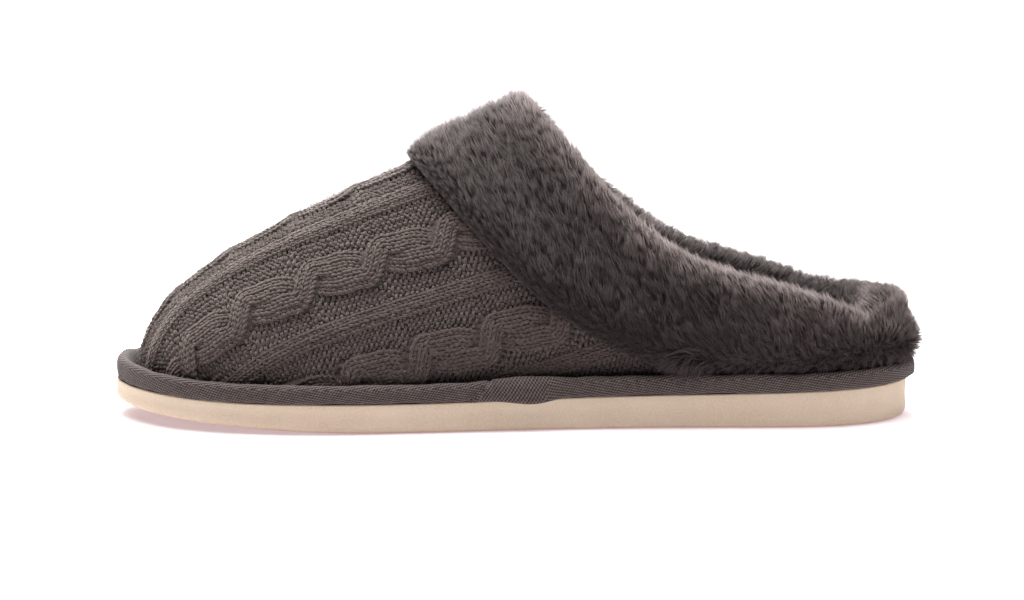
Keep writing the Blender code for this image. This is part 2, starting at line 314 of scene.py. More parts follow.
@dataclass
class LastForm:
    """The form that every piece follows: the sole's outline and the lines over the last."""

    sole_length: float = 0.260
    toe_x: float = -0.132
    toe_spring: float = 0.0049
    toe_spring_share: float = 0.34
    toe_spring_bend: float = 1.55
    upper_inset: float = 0.0060
    wall: float = 0.0040
    gap: float = 0.0004
    binding_height: float = 0.0058
    cuff_round: float = 0.0050
    cuff_edge_thickness: float = 0.0030
    side_sharpness: float = 4.0
    edge_angles: int = 64
    edge_steps: int = 201
    edge_easing: int = 3

    def __post_init__(self) -> None:
        """Turns the tables into curves."""
        self.column = {name: both_sides(MERIDIANS, name) for name in Meridian._fields[1:]}
        self.column["collar_half"] = both_sides(MERIDIANS, "collar_half", sign=-1)
        self.sole_top = both_sides(SOLE_ROWS, "top")
        knots, values = [], []
        for row in SOLE_ROWS:
            angle = angle_of(row.station)
            knots += [angle, FULL_TURN - angle]
            values += [row.inner_half / math.sin(angle), row.outer_half / math.sin(angle)]
        self.fullness = ClosedCurve(knots, values)
        self.cuff_start = self._cuff_start()

    def edge_point(self, angle: Array) -> Array:
        """The sole's edge in plan, at height 0."""
        x = self.toe_x + self.sole_length * (1 - np.cos(angle)) / 2
        y = -self.fullness(angle) * np.sin(angle)
        return np.stack([x, y, np.zeros_like(x)], axis=-1)

    def edge_normal(self, angle: Array) -> Array:
        """The outward direction of the sole's edge in plan."""
        along = self.edge_point(angle + FINE) - self.edge_point(angle - FINE)
        return unit(np.stack([along[..., 1], -along[..., 0], np.zeros_like(angle)], axis=-1))

    def inset_ring(self, angle: Array, inset: Array | float, height: Array | float = 0.0) -> Array:
        """The sole's edge moved inwards, at a height.

        Args:
            angle: Angles round the shoe.
            inset: How far inwards.
            height: Height over the floor.

        Returns:
            The places, three numbers each.
        """
        moved = self.edge_point(angle) - self.edge_normal(angle) * np.asarray(inset)[..., None]
        moved[..., 2] = height
        return moved

    def underside(self, x: Array) -> Array:
        """Height of the sole's underside: flat, with the toe sprung up."""
        share = (x - self.toe_x) / self.sole_length
        sprung = np.maximum(0, 1 - share / self.toe_spring_share)
        return self.toe_spring * sprung**self.toe_spring_bend

    def point(self, angle: Array, share: Array) -> Array:
        """The outside of the upper.

        Args:
            angle: Angles round the shoe.
            share: Shares of the way up each line, of the same shape.

        Returns:
            The places, three numbers each.
        """
        value = {name: curve(angle)[..., None] for name, curve in self.column.items()}
        outward = self.edge_normal(angle)
        foot = self.inset_ring(angle, self.upper_inset, self.sole_top(angle) + self.gap)
        on_outer_side = 0.5 - 0.5 * np.tanh(self.side_sharpness * np.sin(angle))[..., None]
        collar_z = value["collar_z"] - value["outer_drop"] * on_outer_side
        collar = np.concatenate([value["collar_x"], -value["collar_half"], collar_z], axis=-1)
        slope = np.radians(value["pitch"])
        arriving = unit(BACK * np.cos(slope) + UP * np.sin(slope) - outward * value["lean"])
        first = foot + (UP + outward * value["flare"]) * value["rise"]
        second = collar - arriving * value["run"]
        v = np.asarray(share)[..., None]
        w = 1 - v
        return w**3 * foot + 3 * w**2 * v * first + 3 * w * v**2 * second + v**3 * collar

    def directions(self, angle: Array, share: Array) -> tuple[Array, Array]:
        """The outward normal and the direction towards the collar, on the outside of the upper.

        Args:
            angle: Angles round the shoe.
            share: Shares of the way up each line, of the same shape.

        Returns:
            The normals and the directions, of length 1.
        """
        across = self.point(angle + FINE, share) - self.point(angle - FINE, share)
        along = self.point(angle, share + FINE) - self.point(angle, share - FINE)
        return unit(np.cross(across, along)), unit(along)

    def _cuff_start(self) -> ClosedCurve:
        """Finds where the cuff begins.

        Returns:
            The share of the way up at which it begins, as a function of the angle.
        """
        angles = ring_angles(self.edge_angles)
        shares = np.linspace(0, 1, self.edge_steps)
        start = []
        for angle in angles:
            line = self.point(np.full_like(shares, angle), shares)
            edge = np.interp(line[:, 0], [r.x for r in CUFF_EDGE_ROWS], [r.z for r in CUFF_EDGE_ROWS])
            lowest = self.sole_top(angle) + self.binding_height + 2 * self.gap
            start.append(np.interp(0.0, line[:, 2] - np.maximum(edge, lowest), shares))
        start = np.array(start)
        for _ in range(self.edge_easing):
            start = (np.roll(start, 1) + 2 * start + np.roll(start, -1)) / 4
        return ClosedCurve(list(angles), list(start))

    def cuff_depth(self, angle: Array, share: Array, from_edge: Array) -> Array:
        """Thickness of the fur outside the wall.

        Args:
            angle: Angles round the shoe.
            share: Shares of the way up each line.
            from_edge: Distances from the cuff's lower edge.

        Returns:
            The thickness at each place.
        """
        rounding = np.sqrt(1 - (1 - np.minimum(1, from_edge / self.cuff_round)) ** 2)
        start = self.cuff_start(angle)
        up = (share - start) / (1 - start)
        fur = self.column["fur_low"](angle) * (1 - up) + self.column["fur_rim"](angle) * up
        return np.maximum(self.cuff_edge_thickness, fur * rounding)


class NodeBoard:
    """Adds nodes to one node tree and wires them."""

    def __init__(self, tree: NodeTree) -> None:
        """Starts on a tree."""
        self.tree = tree

    def add(self, kind: str, inputs: dict | None = None, **settings: object) -> Node:
        """Adds a node.

        Args:
            kind: Blender's name for the node type.
            inputs: Values or sockets for the node's inputs, by name or place.
            settings: Properties of the node.

        Returns:
            The new node.
        """
        node = self.tree.nodes.new(kind)
        for name, value in settings.items():
            setattr(node, name, value)
        for key, value in (inputs or {}).items():
            if isinstance(value, NodeSocket):
                self.tree.links.new(value, node.inputs[key])
            else:
                node.inputs[key].default_value = value
        return node

    def math(self, operation: str, first: object, second: object = 0.0) -> NodeSocket:
        """One step of arithmetic on two values."""
        return self.add("ShaderNodeMath", {0: first, 1: second}, operation=operation).outputs[0]

    def scaled(self, vector: NodeSocket, value: object) -> NodeSocket:
        """A vector or a colour times a value."""
        return self.add("ShaderNodeVectorMath", {0: vector, "Scale": value}, operation="SCALE").outputs[0]


class PaintBoard(NodeBoard):
    """Nodes of one material, round its shader."""

    def __init__(self, name: str) -> None:
        """Makes the material with an empty shader."""
        self.material = bpy.data.materials.new(name)
        self.material.use_nodes = True
        super().__init__(self.material.node_tree)
        self.shader = self.tree.nodes["Principled BSDF"]
        self.place = self.add("ShaderNodeTexCoord").outputs["Object"]

    def set(self, name: str, value: object) -> None:
        """Sets or wires one input of the shader."""
        if isinstance(value, NodeSocket):
            self.tree.links.new(value, self.shader.inputs[name])
        else:
            self.shader.inputs[name].default_value = value

    def noise(self, scale: float, detail: float = 2.0) -> NodeSocket:
        """A cloudy value from 0 to 1."""
        inputs = {"Vector": self.place, "Scale": scale, "Detail": detail}
        return self.add("ShaderNodeTexNoise", inputs).outputs["Fac"]

    def weighted(self, value: object, weight: float, more: object = 0.0) -> NodeSocket:
        """A value times a weight, plus another value."""
        return self.math("ADD", self.math("MULTIPLY", value, weight), more)

    def span(self, value: object, low: float, high: float) -> NodeSocket:
        """A value from 0 to 1 stretched to run from low to high."""
        inputs = {"Value": value, "To Min": low, "To Max": high}
        return self.add("ShaderNodeMapRange", inputs).outputs["Result"]

    def attribute(self, name: str) -> NodeSocket:
        """A number kept on the mesh."""
        return self.add("ShaderNodeAttribute", attribute_name=name).outputs["Fac"]

    def axes(self, uv_map: str) -> tuple[NodeSocket, NodeSocket]:
        """The two coordinates of a UV map."""
        flat = self.add("ShaderNodeUVMap", uv_map=uv_map).outputs["UV"]
        parts = self.add("ShaderNodeSeparateXYZ", {0: flat}).outputs
        return parts[0], parts[1]

    def mix(self, share: object, first: object, second: object) -> NodeSocket:
        """A colour between two colours.

        Args:
            share: How much of the second colour.
            first: A colour or a socket.
            second: A colour or a socket.

        Returns:
            The mixed colour.
        """
        inputs = {0: share}
        for place, colour in zip(MIX_SOCKETS, (first, second)):
            inputs[place] = colour if isinstance(colour, NodeSocket) else (*colour, 1.0)
        return self.add("ShaderNodeMix", inputs, data_type="RGBA").outputs[2]

    def bump(self, height: object, distance: float, strength: float = 1.0) -> None:
        """Wires a bump to the shader."""
        inputs = {"Height": height, "Distance": distance, "Strength": strength}
        self.set("Normal", self.add("ShaderNodeBump", inputs).outputs["Normal"])


@dataclass(frozen=True)
class Finish:
    """What the finishes share: a name and how a surface takes the light."""

    name: str
    roughness: float
    specular: float
    sheen: float
    sheen_tint: Colour = (0.9, 0.87, 0.84)
    sheen_roughness: float = 0.5

    def board(self) -> PaintBoard:
        """Starts the material.

        Returns:
            A board with the plain values set.
        """
        board = PaintBoard(self.name)
        board.set("Roughness", self.roughness)
        board.set("Specular IOR Level", self.specular)
        board.set("Sheen Weight", self.sheen)
        board.set("Sheen Tint", (*self.sheen_tint, 1.0))
        board.set("Sheen Roughness", self.sheen_roughness)
        return board


@dataclass(frozen=True)
class YarnFinish(Finish):
    """Soft plied yarn, flecked, with a fibrous surface; the ends of each segment carry painted shade, and a
    paler colour is mixed in as painted light.
    """

    dark: Colour = (0.0428, 0.0308, 0.0278)
    light: Colour = (0.0838, 0.0656, 0.0602)
    # Paler colour mixed in as painted light: a highlight along the top line and on the purl.
    worn: Colour = (0.34, 0.31, 0.295)
    fleck: float = 700.0
    fibre: float = 5200.0
    plies: float = 3.0
    twist: float = 2.0
    least_tone: float = 0.05
    shade_weight: float = 0.36
    fleck_weight: float = 0.5
    # Painted shade: each segment darkens towards its ends, where it tucks under its neighbours.
    end_hold: float = 3.0
    end_painted_shade: float = 0.60
    hair_weight: float = 2.2
    relief: float = 0.00010
    relief_strength: float = 0.6

    def material(self) -> Material:
        """Builds the yarn.

        Returns:
            The material.
        """
        board = self.board()
        round_yarn, along_yarn = board.axes("yarn")
        tone = board.weighted(board.attribute("shade"), self.shade_weight, self.least_tone)
        tone = board.weighted(board.noise(self.fleck, detail=3.0), self.fleck_weight, tone)
        colour = board.mix(tone, self.dark, self.light)
        # Painted shade towards both ends of each segment.
        ends = board.math("ABSOLUTE", board.math("SUBTRACT", along_yarn, 0.5))
        ends = board.math("POWER", board.math("MULTIPLY", ends, 2.0), self.end_hold)
        colour = board.scaled(colour, board.span(ends, 1.0, self.end_painted_shade))
        # Painted light: the paler colour mixed in where the stitches carry it.
        board.set("Base Color", board.mix(board.attribute("worn"), colour, self.worn))
        turns = board.math("MULTIPLY", round_yarn, FULL_TURN * self.plies)
        turns = board.weighted(along_yarn, FULL_TURN * self.twist, turns)
        hairs = board.noise(self.fibre, detail=4.0)
        height = board.weighted(hairs, self.hair_weight, board.math("SINE", turns))
        board.bump(height, self.relief, self.relief_strength)
        return board.material


@dataclass(frozen=True)
class PileFinish(Finish):
    """Fur or plush: strands that are dark at the root and paler at the tip, with a painted highlight on the
    tips along the rim.
    """

    root: Colour = (0.0350, 0.0268, 0.0254)
    tip: Colour = (0.0490, 0.0380, 0.0360)
    # Painted highlight: tip colour along the rim, standing for light from behind through the tips.
    rim: Colour = (0.165, 0.130, 0.123)
    root_hold: float = 1.1
    strand_spread: float = 0.14
    patch: float = 90.0
    patch_spread: float = 0.24
    lock: float = 560.0
    lock_spread: float = 0.20

    def material(self) -> Material:
        """Builds the pile.

        Returns:
            The material.
        """
        board = self.board()
        # Painted highlight on the tips, where the pile carries it.
        tip = board.mix(board.attribute("pale"), self.tip, self.rim)
        colour = board.mix(board.math("POWER", board.attribute("rise"), self.root_hold), self.root, tip)
        uneven = (
            (board.attribute("shade"), self.strand_spread),
            (board.noise(self.patch), self.patch_spread),
            (board.noise(self.lock, detail=1.0), self.lock_spread),
        )
        for value, spread in uneven:
            colour = board.scaled(colour, board.span(value, 1 - spread, 1 + spread))
        board.set("Base Color", colour)
        return board.material


@dataclass(frozen=True)
class UndercoatFinish(Finish):
    """The dense dark base under the pile, or the dark ground behind the stitches, whose darkness there is
    painted shade for the gaps between them.
    """

    dark: Colour = (0.034, 0.0266, 0.0253)
    light: Colour = (0.052, 0.0413, 0.0392)
    # Ground lighter where it lies under the raised bands: less painted shade there.
    filled: Colour = (0.064, 0.0495, 0.0455)
    grain: float = 1400.0
    relief: float = 0.0006
    relief_strength: float = 0.9

    def material(self) -> Material:
        """Builds the base.

        Returns:
            The material.
        """
        board = self.board()
        grain = board.noise(self.grain, detail=4.0)
        base = board.mix(grain, self.dark, self.light)
        board.set("Base Color", board.mix(board.attribute("filled"), base, self.filled))
        board.bump(grain, self.relief, self.relief_strength)
        return board.material


@dataclass(frozen=True)
class TapeFinish(Finish):
    """Herringbone tape: fine ridges that slope one way above the middle line and the other below."""

    valley: Colour = (0.012, 0.0094, 0.0089)
    ridge: Colour = (0.166, 0.133, 0.124)
    pitch: float = 0.00098
    slope: float = 0.26
    thread: float = 0.00092
    thread_slope: float = 0.5
    wander: float = 0.0004
    wander_grain: float = 260.0
    ridge_weight: float = 0.30
    thread_weight: float = 0.24
    cloud: float = 700.0
    cloud_low: float = 0.18
    cloud_high: float = 0.66
    relief: float = 0.00030

    def material(self) -> Material:
        """Builds the tape.

        Returns:
            The material.
        """
        board = self.board()
        along, across = board.axes("tape")
        climb = board.weighted(along, -self.slope, board.math("ABSOLUTE", across))
        climb = board.weighted(board.noise(self.wander_grain), self.wander, climb)
        ridge = board.math("SINE", board.math("MULTIPLY", climb, FULL_TURN / self.pitch))
        thread = board.weighted(across, self.thread_slope, along)
        thread = board.math("SINE", board.math("MULTIPLY", thread, FULL_TURN / self.thread))
        weave = board.span(board.noise(self.cloud, detail=3.0), self.cloud_low, self.cloud_high)
        weave = board.weighted(ridge, self.ridge_weight, weave)
        weave = board.weighted(thread, self.thread_weight, weave)
        woven = board.mix(weave, self.valley, self.ridge)
        # Painted shade on the tape's inner side, turned towards the knit.
        board.set("Base Color", board.mix(board.attribute("tucked"), woven, self.valley))
        board.bump(weave, self.relief)
        return board.material


@dataclass(frozen=True)
class FoamFinish(Finish):
    """Matt moulded foam with a fine speckled skin."""

    base: Colour = (0.68, 0.56, 0.42)
    fleck: Colour = (0.49, 0.39, 0.28)
    # Wear only: paler clouds at random, no painted light on the foam.
    worn: Colour = (0.71, 0.595, 0.48)
    speckle: float = 2200.0
    fleck_span: tuple[float, float] = (-0.7, 1.4)
    cloud: float = 60.0
    worn_span: tuple[float, float] = (-0.2, 0.8)
    relief: float = 0.00012
    relief_strength: float = 0.6

    def material(self) -> Material:
        """Builds the foam.

        Returns:
            The material.
        """
        board = self.board()
        grain = board.noise(self.speckle, detail=3.0)
        cloud = board.noise(self.cloud, detail=3.0)
        colour = board.mix(board.span(grain, *self.fleck_span), self.base, self.fleck)
        board.set("Base Color", board.mix(board.span(cloud, *self.worn_span), colour, self.worn))
        board.bump(grain, self.relief, self.relief_strength)
        return board.material


YARN = YarnFinish(
    "knit_yarn",
    roughness=0.92,
    specular=0.12,
    sheen=0.30,
    sheen_tint=(0.90, 0.76, 0.70),
    sheen_roughness=0.60,
)
# Painted shade: the ground behind the stitches is darker than the yarn, standing for shade in the gaps.
PAINTED_SHADE_GROUND = UndercoatFinish(
    "knit_ground",
    roughness=0.95,
    specular=0.10,
    sheen=0.2,
    dark=(0.020, 0.0165, 0.0152),
    light=(0.060, 0.050, 0.046),
)
FUR = PileFinish("cuff_fur", roughness=0.60, specular=0.22, sheen=0.10, sheen_tint=(0.90, 0.77, 0.73))
PLUSH = PileFinish(
    "lining_plush",
    roughness=0.70,
    specular=0.20,
    sheen=0.15,
    root=(0.022, 0.0170, 0.0160),
    tip=(0.080, 0.063, 0.060),
)
# Painted highlight: pale tips on the fuzz along the top line.
FUZZ = PileFinish(
    "yarn_fuzz",
    roughness=0.80,
    specular=0.10,
    sheen=0.60,
    root=(0.09, 0.07, 0.064),
    tip=(0.17, 0.14, 0.13),
    rim=(0.52, 0.48, 0.46),
)
UNDERCOAT = UndercoatFinish("fur_undercoat", roughness=0.95, specular=0.10, sheen=0.10)
TAPE = TapeFinish("herringbone_tape", roughness=0.88, specular=0.14, sheen=0.10)
FOAM = FoamFinish("sole_foam", roughness=0.72, specular=0.30, sheen=0.0)


class Workshop:
    """Turns arrays into meshes and objects, and hands finished pieces to the frame."""

    def __init__(self) -> None:
        """Starts with no materials made."""
        self.made: dict[str, Material] = {}

    def material(self, finish: Finish) -> Material:
        """The one material of a finish."""
        if finish.name not in self.made:
            self.made[finish.name] = finish.material()
        return self.made[finish.name]

    def mesh(self, name: str, points: Array, faces: list, smooth: bool = True) -> Mesh:
        """A mesh from points and faces.

        Args:
            name: Name of the mesh.
            points: Places, three numbers each, in any number of rows.
            faces: Point numbers of each face.
            smooth: Whether the faces are shaded as one rounded surface.

        Returns:
            The mesh.
        """
        mesh = bpy.data.meshes.new(name)
        mesh.from_pydata(np.asarray(points).reshape(-1, 3).tolist(), [], faces)
        if smooth:
            mesh.shade_smooth()
        mesh.update()
        return mesh

    def keep(self, mesh: Mesh, **values: Array) -> None:
        """Keeps a number or a vector on every point of a mesh.

        Args:
            mesh: The mesh.
            values: The numbers or vectors, by the name they are kept under.
        """
        for name, value in values.items():
            vector = np.size(value) == 3 * len(mesh.vertices)
            kept = mesh.attributes.new(name, "FLOAT_VECTOR" if vector else "FLOAT", "POINT")
            kept.data.foreach_set("vector" if vector else "value", np.ravel(value).astype(np.float32))

    def add(self, mesh: Mesh, *finishes: Finish) -> Object:
        """Puts a mesh in the scene as a piece of the same name.

        Args:
            mesh: The mesh.
            finishes: Its finishes, in the order of its faces' numbers.

        Returns:
            The piece.
        """
        for finish in finishes:
            mesh.materials.append(self.material(finish))
        made = bpy.data.objects.new(mesh.name, mesh)
        bpy.context.scene.collection.objects.link(made)
        return made

    def hand_over(self, piece: Object, slot: Slot, *nodes: str) -> None:
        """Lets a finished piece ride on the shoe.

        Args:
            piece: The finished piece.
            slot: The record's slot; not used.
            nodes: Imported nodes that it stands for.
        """
        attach(piece, BODY)
        if nodes:
            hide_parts(*nodes)
        piece.data.calc_loop_triangles()
        LOG.info("%s: %d triangles", piece.name, len(piece.data.loop_triangles))


def ring_faces(rows: int, around: int, closed_rows: bool = False) -> list[tuple[int, int, int, int]]:
    """Faces between rings of points that follow each other.

    Args:
        rows: Number of rings.
        around: Number of points in a ring.
        closed_rows: Whether the last ring joins the first.

    Returns:
        Four point numbers for each face.
    """
    faces = []
    for row in range(rows if closed_rows else rows - 1):
        above = (row + 1) % rows
        for i in range(around):
            j = (i + 1) % around
            faces.append((row * around + i, row * around + j, above * around + j, above * around + i))
    return faces


def grid_faces(rows: int, wide: int) -> list[tuple[int, int, int, int]]:
    """Faces of a sheet of points, in rows of the same width, that is open on all sides."""
    firsts = [row * wide + k for row in range(rows - 1) for k in range(wide - 1)]
    return [(first, first + 1, first + wide + 1, first + wide) for first in firsts]


def ladder_faces(near: Array, far: Array, grid: Array) -> list[tuple[int, ...]]:
    """Faces of a leaf-shaped patch made of rungs between two edges that meet at both tips.

    Args:
        near: Point numbers of one edge, tips included.
        far: Point numbers of the other edge, with the same tips.
        grid: Point numbers of the inner points, a row for each rung.

    Returns:
        Point numbers of each face.
    """
    rungs = [np.concatenate([[near[i + 1]], grid[i], [far[i + 1]]]) for i in range(len(grid))]
    faces = []
    for low, high in zip(rungs, rungs[1:]):
        for k in range(len(low) - 1):
            faces.append((low[k], high[k], high[k + 1], low[k + 1]))
    for k in range(len(rungs[0]) - 1):
        faces.append((near[0], rungs[0][k], rungs[0][k + 1]))
        faces.append((near[-1], rungs[-1][k + 1], rungs[-1][k]))
    return [tuple(int(i) for i in face) for face in faces]


@dataclass(frozen=True)
class TuftMaker:
    """Small tufts of tapered strands, 1 long, drawn together or spread at the tip."""

    strands: int
    kinds: int
    root_spread: float
    tip_spread: float
    thickness: float
    seed: int
    swing: float = 0.9
    shortest: float = 0.76
    longest: float = 1.04
    sides: int = 3

    def build(self, name: str, workshop: Workshop) -> Collection:
        """Makes the tufts in a collection of their own.

        Args:
            name: Name of the collection.
            workshop: Where meshes are made.

        Returns:
            The collection.
        """
        kept = bpy.data.collections.new(name)
        draw = np.random.default_rng(self.seed)
        for kind in range(self.kinds):
            points, faces = [], []
            for _ in range(self.strands):
                self._strand(points, faces, draw)
            mesh = workshop.mesh(f"{name}_{kind}", np.array(points), faces)
            workshop.keep(mesh, rise=np.tile([0.0] * self.sides + [1.0], self.strands))
            kept.objects.link(bpy.data.objects.new(f"{name}_{kind}", mesh))
        return kept

    def _strand(self, points: list, faces: list, draw: np.random.Generator) -> None:
        """Adds one strand that tapers from its root to a point.

        Args:
            points: Points of the tuft so far.
            faces: Faces of the tuft so far.
            draw: Source of the random numbers.
        """
        turn = draw.uniform(0, FULL_TURN)
        off = self.root_spread * math.sqrt(draw.uniform(0, 1))
        root = off * np.array([math.cos(turn), math.sin(turn), 0.0])
        swing = turn + draw.normal(0, self.swing)
        far = self.tip_spread * math.sqrt(draw.uniform(0, 1))
        length = draw.uniform(self.shortest, self.longest)
        first, last = len(points), len(points) + self.sides
        faces.append(tuple(range(last - 1, first - 1, -1)))
        for k in range(self.sides):
            spin = turn + FULL_TURN * k / self.sides
            points.append(root + self.thickness * np.array([math.cos(spin), math.sin(spin), 0.0]))
            faces.append((first + k, first + (k + 1) % self.sides, last))
        points.append(np.array([far * math.cos(swing), far * math.sin(swing), length]))


@dataclass(frozen=True)
class Pile:
    """How closely tufts stand on a surface, how they differ, and what they are made of."""

    finish: PileFinish
    slot: Slot
    tufts: TuftMaker
    spacing: float
    density: float
    stray: float
    unevenness: float


FUR_PILE = Pile(
    FUR,
    Slot.FUR,
    TuftMaker(strands=12, kinds=6, root_spread=0.21, tip_spread=0.16, thickness=0.0195, seed=21),
    spacing=0.00087,
    density=1500000.0,
    stray=0.20,
    unevenness=0.20,
)
PLUSH_PILE = Pile(
    PLUSH,
    Slot.PLUSH,
    TuftMaker(strands=7, kinds=5, root_spread=0.33, tip_spread=0.30, thickness=0.056, seed=41),
    spacing=0.00160,
    density=420000.0,
    stray=0.35,
    unevenness=0.2,
)
FUZZ_PILE = Pile(
    FUZZ,
    Slot.KNIT,
    TuftMaker(strands=3, kinds=6, root_spread=0.55, tip_spread=0.95, thickness=0.034, seed=11),
    spacing=0.0004,
    density=620000.0,
    stray=0.6,
    unevenness=0.35,
)


class Scatter:
    """Geometry Nodes that set copies of small shapes on points or over a surface."""

    def __init__(self, workshop: Workshop) -> None:
        """Builds both trees."""
        self.workshop = workshop
        self.stitch_tree = self._stitch_tree()
        self.pile_tree = self._pile_tree()

    def _named(self, board: NodeBoard, name: str, kind: str = "FLOAT_VECTOR") -> NodeSocket:
        """A vector or a number kept on the points."""
        return board.add("GeometryNodeInputNamedAttribute", {"Name": name}, data_type=kind).outputs[0]

    def _random(self, board: NodeBoard, kind: str, low: object, high: object) -> NodeSocket:
        """A random value for each copy, drawn with the tree's own seed.

        Args:
            board: The tree's board.
            kind: Blender's name for the kind of value.
            low: Lowest value.
            high: Highest value.

        Returns:
            The value.
        """
        first, second, result = RANDOM_SOCKETS[kind]
        inputs = {first: low, second: high, "Seed": self._given(board)["Seed"]}
        return board.add("FunctionNodeRandomValue", inputs, data_type=kind).outputs[result]

    def _given(self, board: NodeBoard) -> NodeOutputs:
        """The named inputs of a tree."""
        return board.tree.nodes["Group Input"].outputs

    def _begin(self, name: str, sockets: dict[str, str]) -> NodeBoard:
        """Starts a tree with its named inputs and its output.

        Args:
            name: Name of the tree.
            sockets: Kinds of the inputs that only this tree has, by name.

        Returns:
            The tree's board.
        """
        tree = bpy.data.node_groups.new(name, "GeometryNodeTree")
        shared = {"Unevenness": "Float", "Seed": "Int", "Finish": "Material"}
        for key, kind in ({"Geometry": "Geometry"} | sockets | shared).items():
            tree.interface.new_socket(key, in_out="INPUT", socket_type=f"NodeSocket{kind}")
        tree.interface.new_socket("Geometry", in_out="OUTPUT", socket_type="NodeSocketGeometry")
        board = NodeBoard(tree)
        board.add("NodeGroupInput", name="Group Input")
        return board

    def _turn(self, board: NodeBoard, first: object, **axes: str) -> NodeSocket:
        """A turn that lays one axis of a copy along a vector and another as near the way out as it can."""
        inputs = {"Primary Axis": first, "Secondary Axis": self._named(board, "outward")}
        return board.add("FunctionNodeAxesToRotation", inputs, **axes).outputs[0]

    def _uneven(self, board: NodeBoard) -> NodeSocket:
        """A random number round 1, as far each way as the tree's unevenness."""
        spread = self._given(board)["Unevenness"]
        ends = [board.math(operation, 1.0, spread) for operation in ("SUBTRACT", "ADD")]
        return self._random(board, "FLOAT", *ends)

    def _finished(self, board: NodeBoard, placing: dict[str, object], spent: list[str]) -> NodeTree:
        """Ends a tree: copies, a random shade for each, real meshes, no spare attributes, the finish.

        Args:
            board: The tree's board.
            placing: Inputs of the node that sets the copies.
            spent: Attributes that the finished mesh no longer needs.

        Returns:
            The tree.
        """
        copies = board.add("GeometryNodeInstanceOnPoints", placing).outputs[0]
        keep = {"Geometry": copies, "Name": "shade", "Value": self._random(board, "FLOAT", 0.0, 1.0)}
        kept = board.add("GeometryNodeStoreNamedAttribute", keep, data_type="FLOAT", domain="INSTANCE")
        real = board.add("GeometryNodeRealizeInstances", {"Geometry": kept.outputs[0]}).outputs[0]
        for name in spent:
            real = board.add("GeometryNodeRemoveAttribute", {"Geometry": real, "Name": name}).outputs[0]
        dressing = {"Geometry": real, "Material": self._given(board)["Finish"]}
        dressed = board.add("GeometryNodeSetMaterial", dressing).outputs[0]
        board.add("NodeGroupOutput", {"Geometry": dressed})
        return board.tree

    def _stitch_tree(self) -> NodeTree:
        """Sets one shape on every point, turned and sized by the point's own vectors.

        Returns:
            The tree.
        """
        board = self._begin("set_stitches", {"Shape": "Object"})
        given = self._given(board)
        shape = board.add("GeometryNodeObjectInfo", {"Object": given["Shape"]}).outputs["Geometry"]
        turn = self._turn(board, self._named(board, "along"), primary_axis="Y", secondary_axis="Z")
        size = board.scaled(self._named(board, "size"), self._uneven(board))
        placing = {"Points": given["Geometry"], "Instance": shape, "Rotation": turn, "Scale": size}
        return self._finished(board, placing, ["along", "outward", "size"])

    def _pile_tree(self) -> NodeTree:
        """Strews tufts over a surface, leaning as the surface's own vectors say.

        Returns:
            The tree.
        """
        sockets = dict.fromkeys(("Spacing", "Density", "Stray"), "Float")
        board = self._begin("strew_pile", sockets | {"Tufts": "Collection", "Kinds": "Int"})
        given = self._given(board)
        spread = {"Mesh": given["Geometry"], "Seed": given["Seed"], "Distance Min": given["Spacing"]}
        spread |= {"Density Max": given["Density"], "Density Factor": self._named(board, "cover", "FLOAT")}
        method = {"distribute_method": "POISSON"}
        roots = board.add("GeometryNodeDistributePointsOnFaces", spread, **method).outputs[0]
        stray = self._random(board, "FLOAT_VECTOR", (-1.0, -1.0, -1.0), (1.0, 1.0, 1.0))
        leaning = {0: self._named(board, "lay"), 1: board.scaled(stray, given["Stray"])}
        lean = board.add("ShaderNodeVectorMath", leaning, operation="ADD").outputs[0]
        turn = self._turn(board, lean, primary_axis="Z", secondary_axis="Y")
        size = board.math("MULTIPLY", self._named(board, "pile", "FLOAT"), self._uneven(board))
        tufts = {"Collection": given["Tufts"], "Separate Children": True, "Reset Children": True}
        choice = board.add("GeometryNodeCollectionInfo", tufts).outputs[0]
        pick = self._random(board, "INT", 0, board.math("SUBTRACT", given["Kinds"], 1.0))
        placing = {"Points": roots, "Instance": choice, "Pick Instance": True, "Instance Index": pick}
        placing |= {"Rotation": turn, "Scale": size}
        return self._finished(board, placing, ["lay", "outward", "pile", "cover"])

    def strew(
        self,
        name: str,
        skin: Array,
        faces: list,
        kept: dict[str, Array],
        pile: Pile,
        seed: int,
    ) -> None:
        """Grows pile on a surface and hands it over.

        Args:
            name: Name of the piece.
            skin: Points of the surface, in rows.
            faces: Point numbers of its faces.
            kept: Lean, way out, length, cover and painted highlight of the pile at every point.
            pile: The kind of pile.
            seed: Seed of the piece.
        """
        mesh = self.workshop.mesh(name, skin, faces)
        self.workshop.keep(mesh, **kept)
        piece = self.workshop.add(mesh)
        tufts = pile.tufts.build(f"{name}_tuft", self.workshop)
        values = {"Spacing": pile.spacing, "Density": pile.density, "Stray": pile.stray}
        values |= {"Tufts": tufts, "Kinds": pile.tufts.kinds, "Unevenness": pile.unevenness, "Seed": seed}
        self.grow(piece, self.pile_tree, values, pile.finish)
        for pattern in list(tufts.objects):
            bpy.data.objects.remove(pattern)
        bpy.data.collections.remove(tufts)
        self.workshop.hand_over(piece, pile.slot)

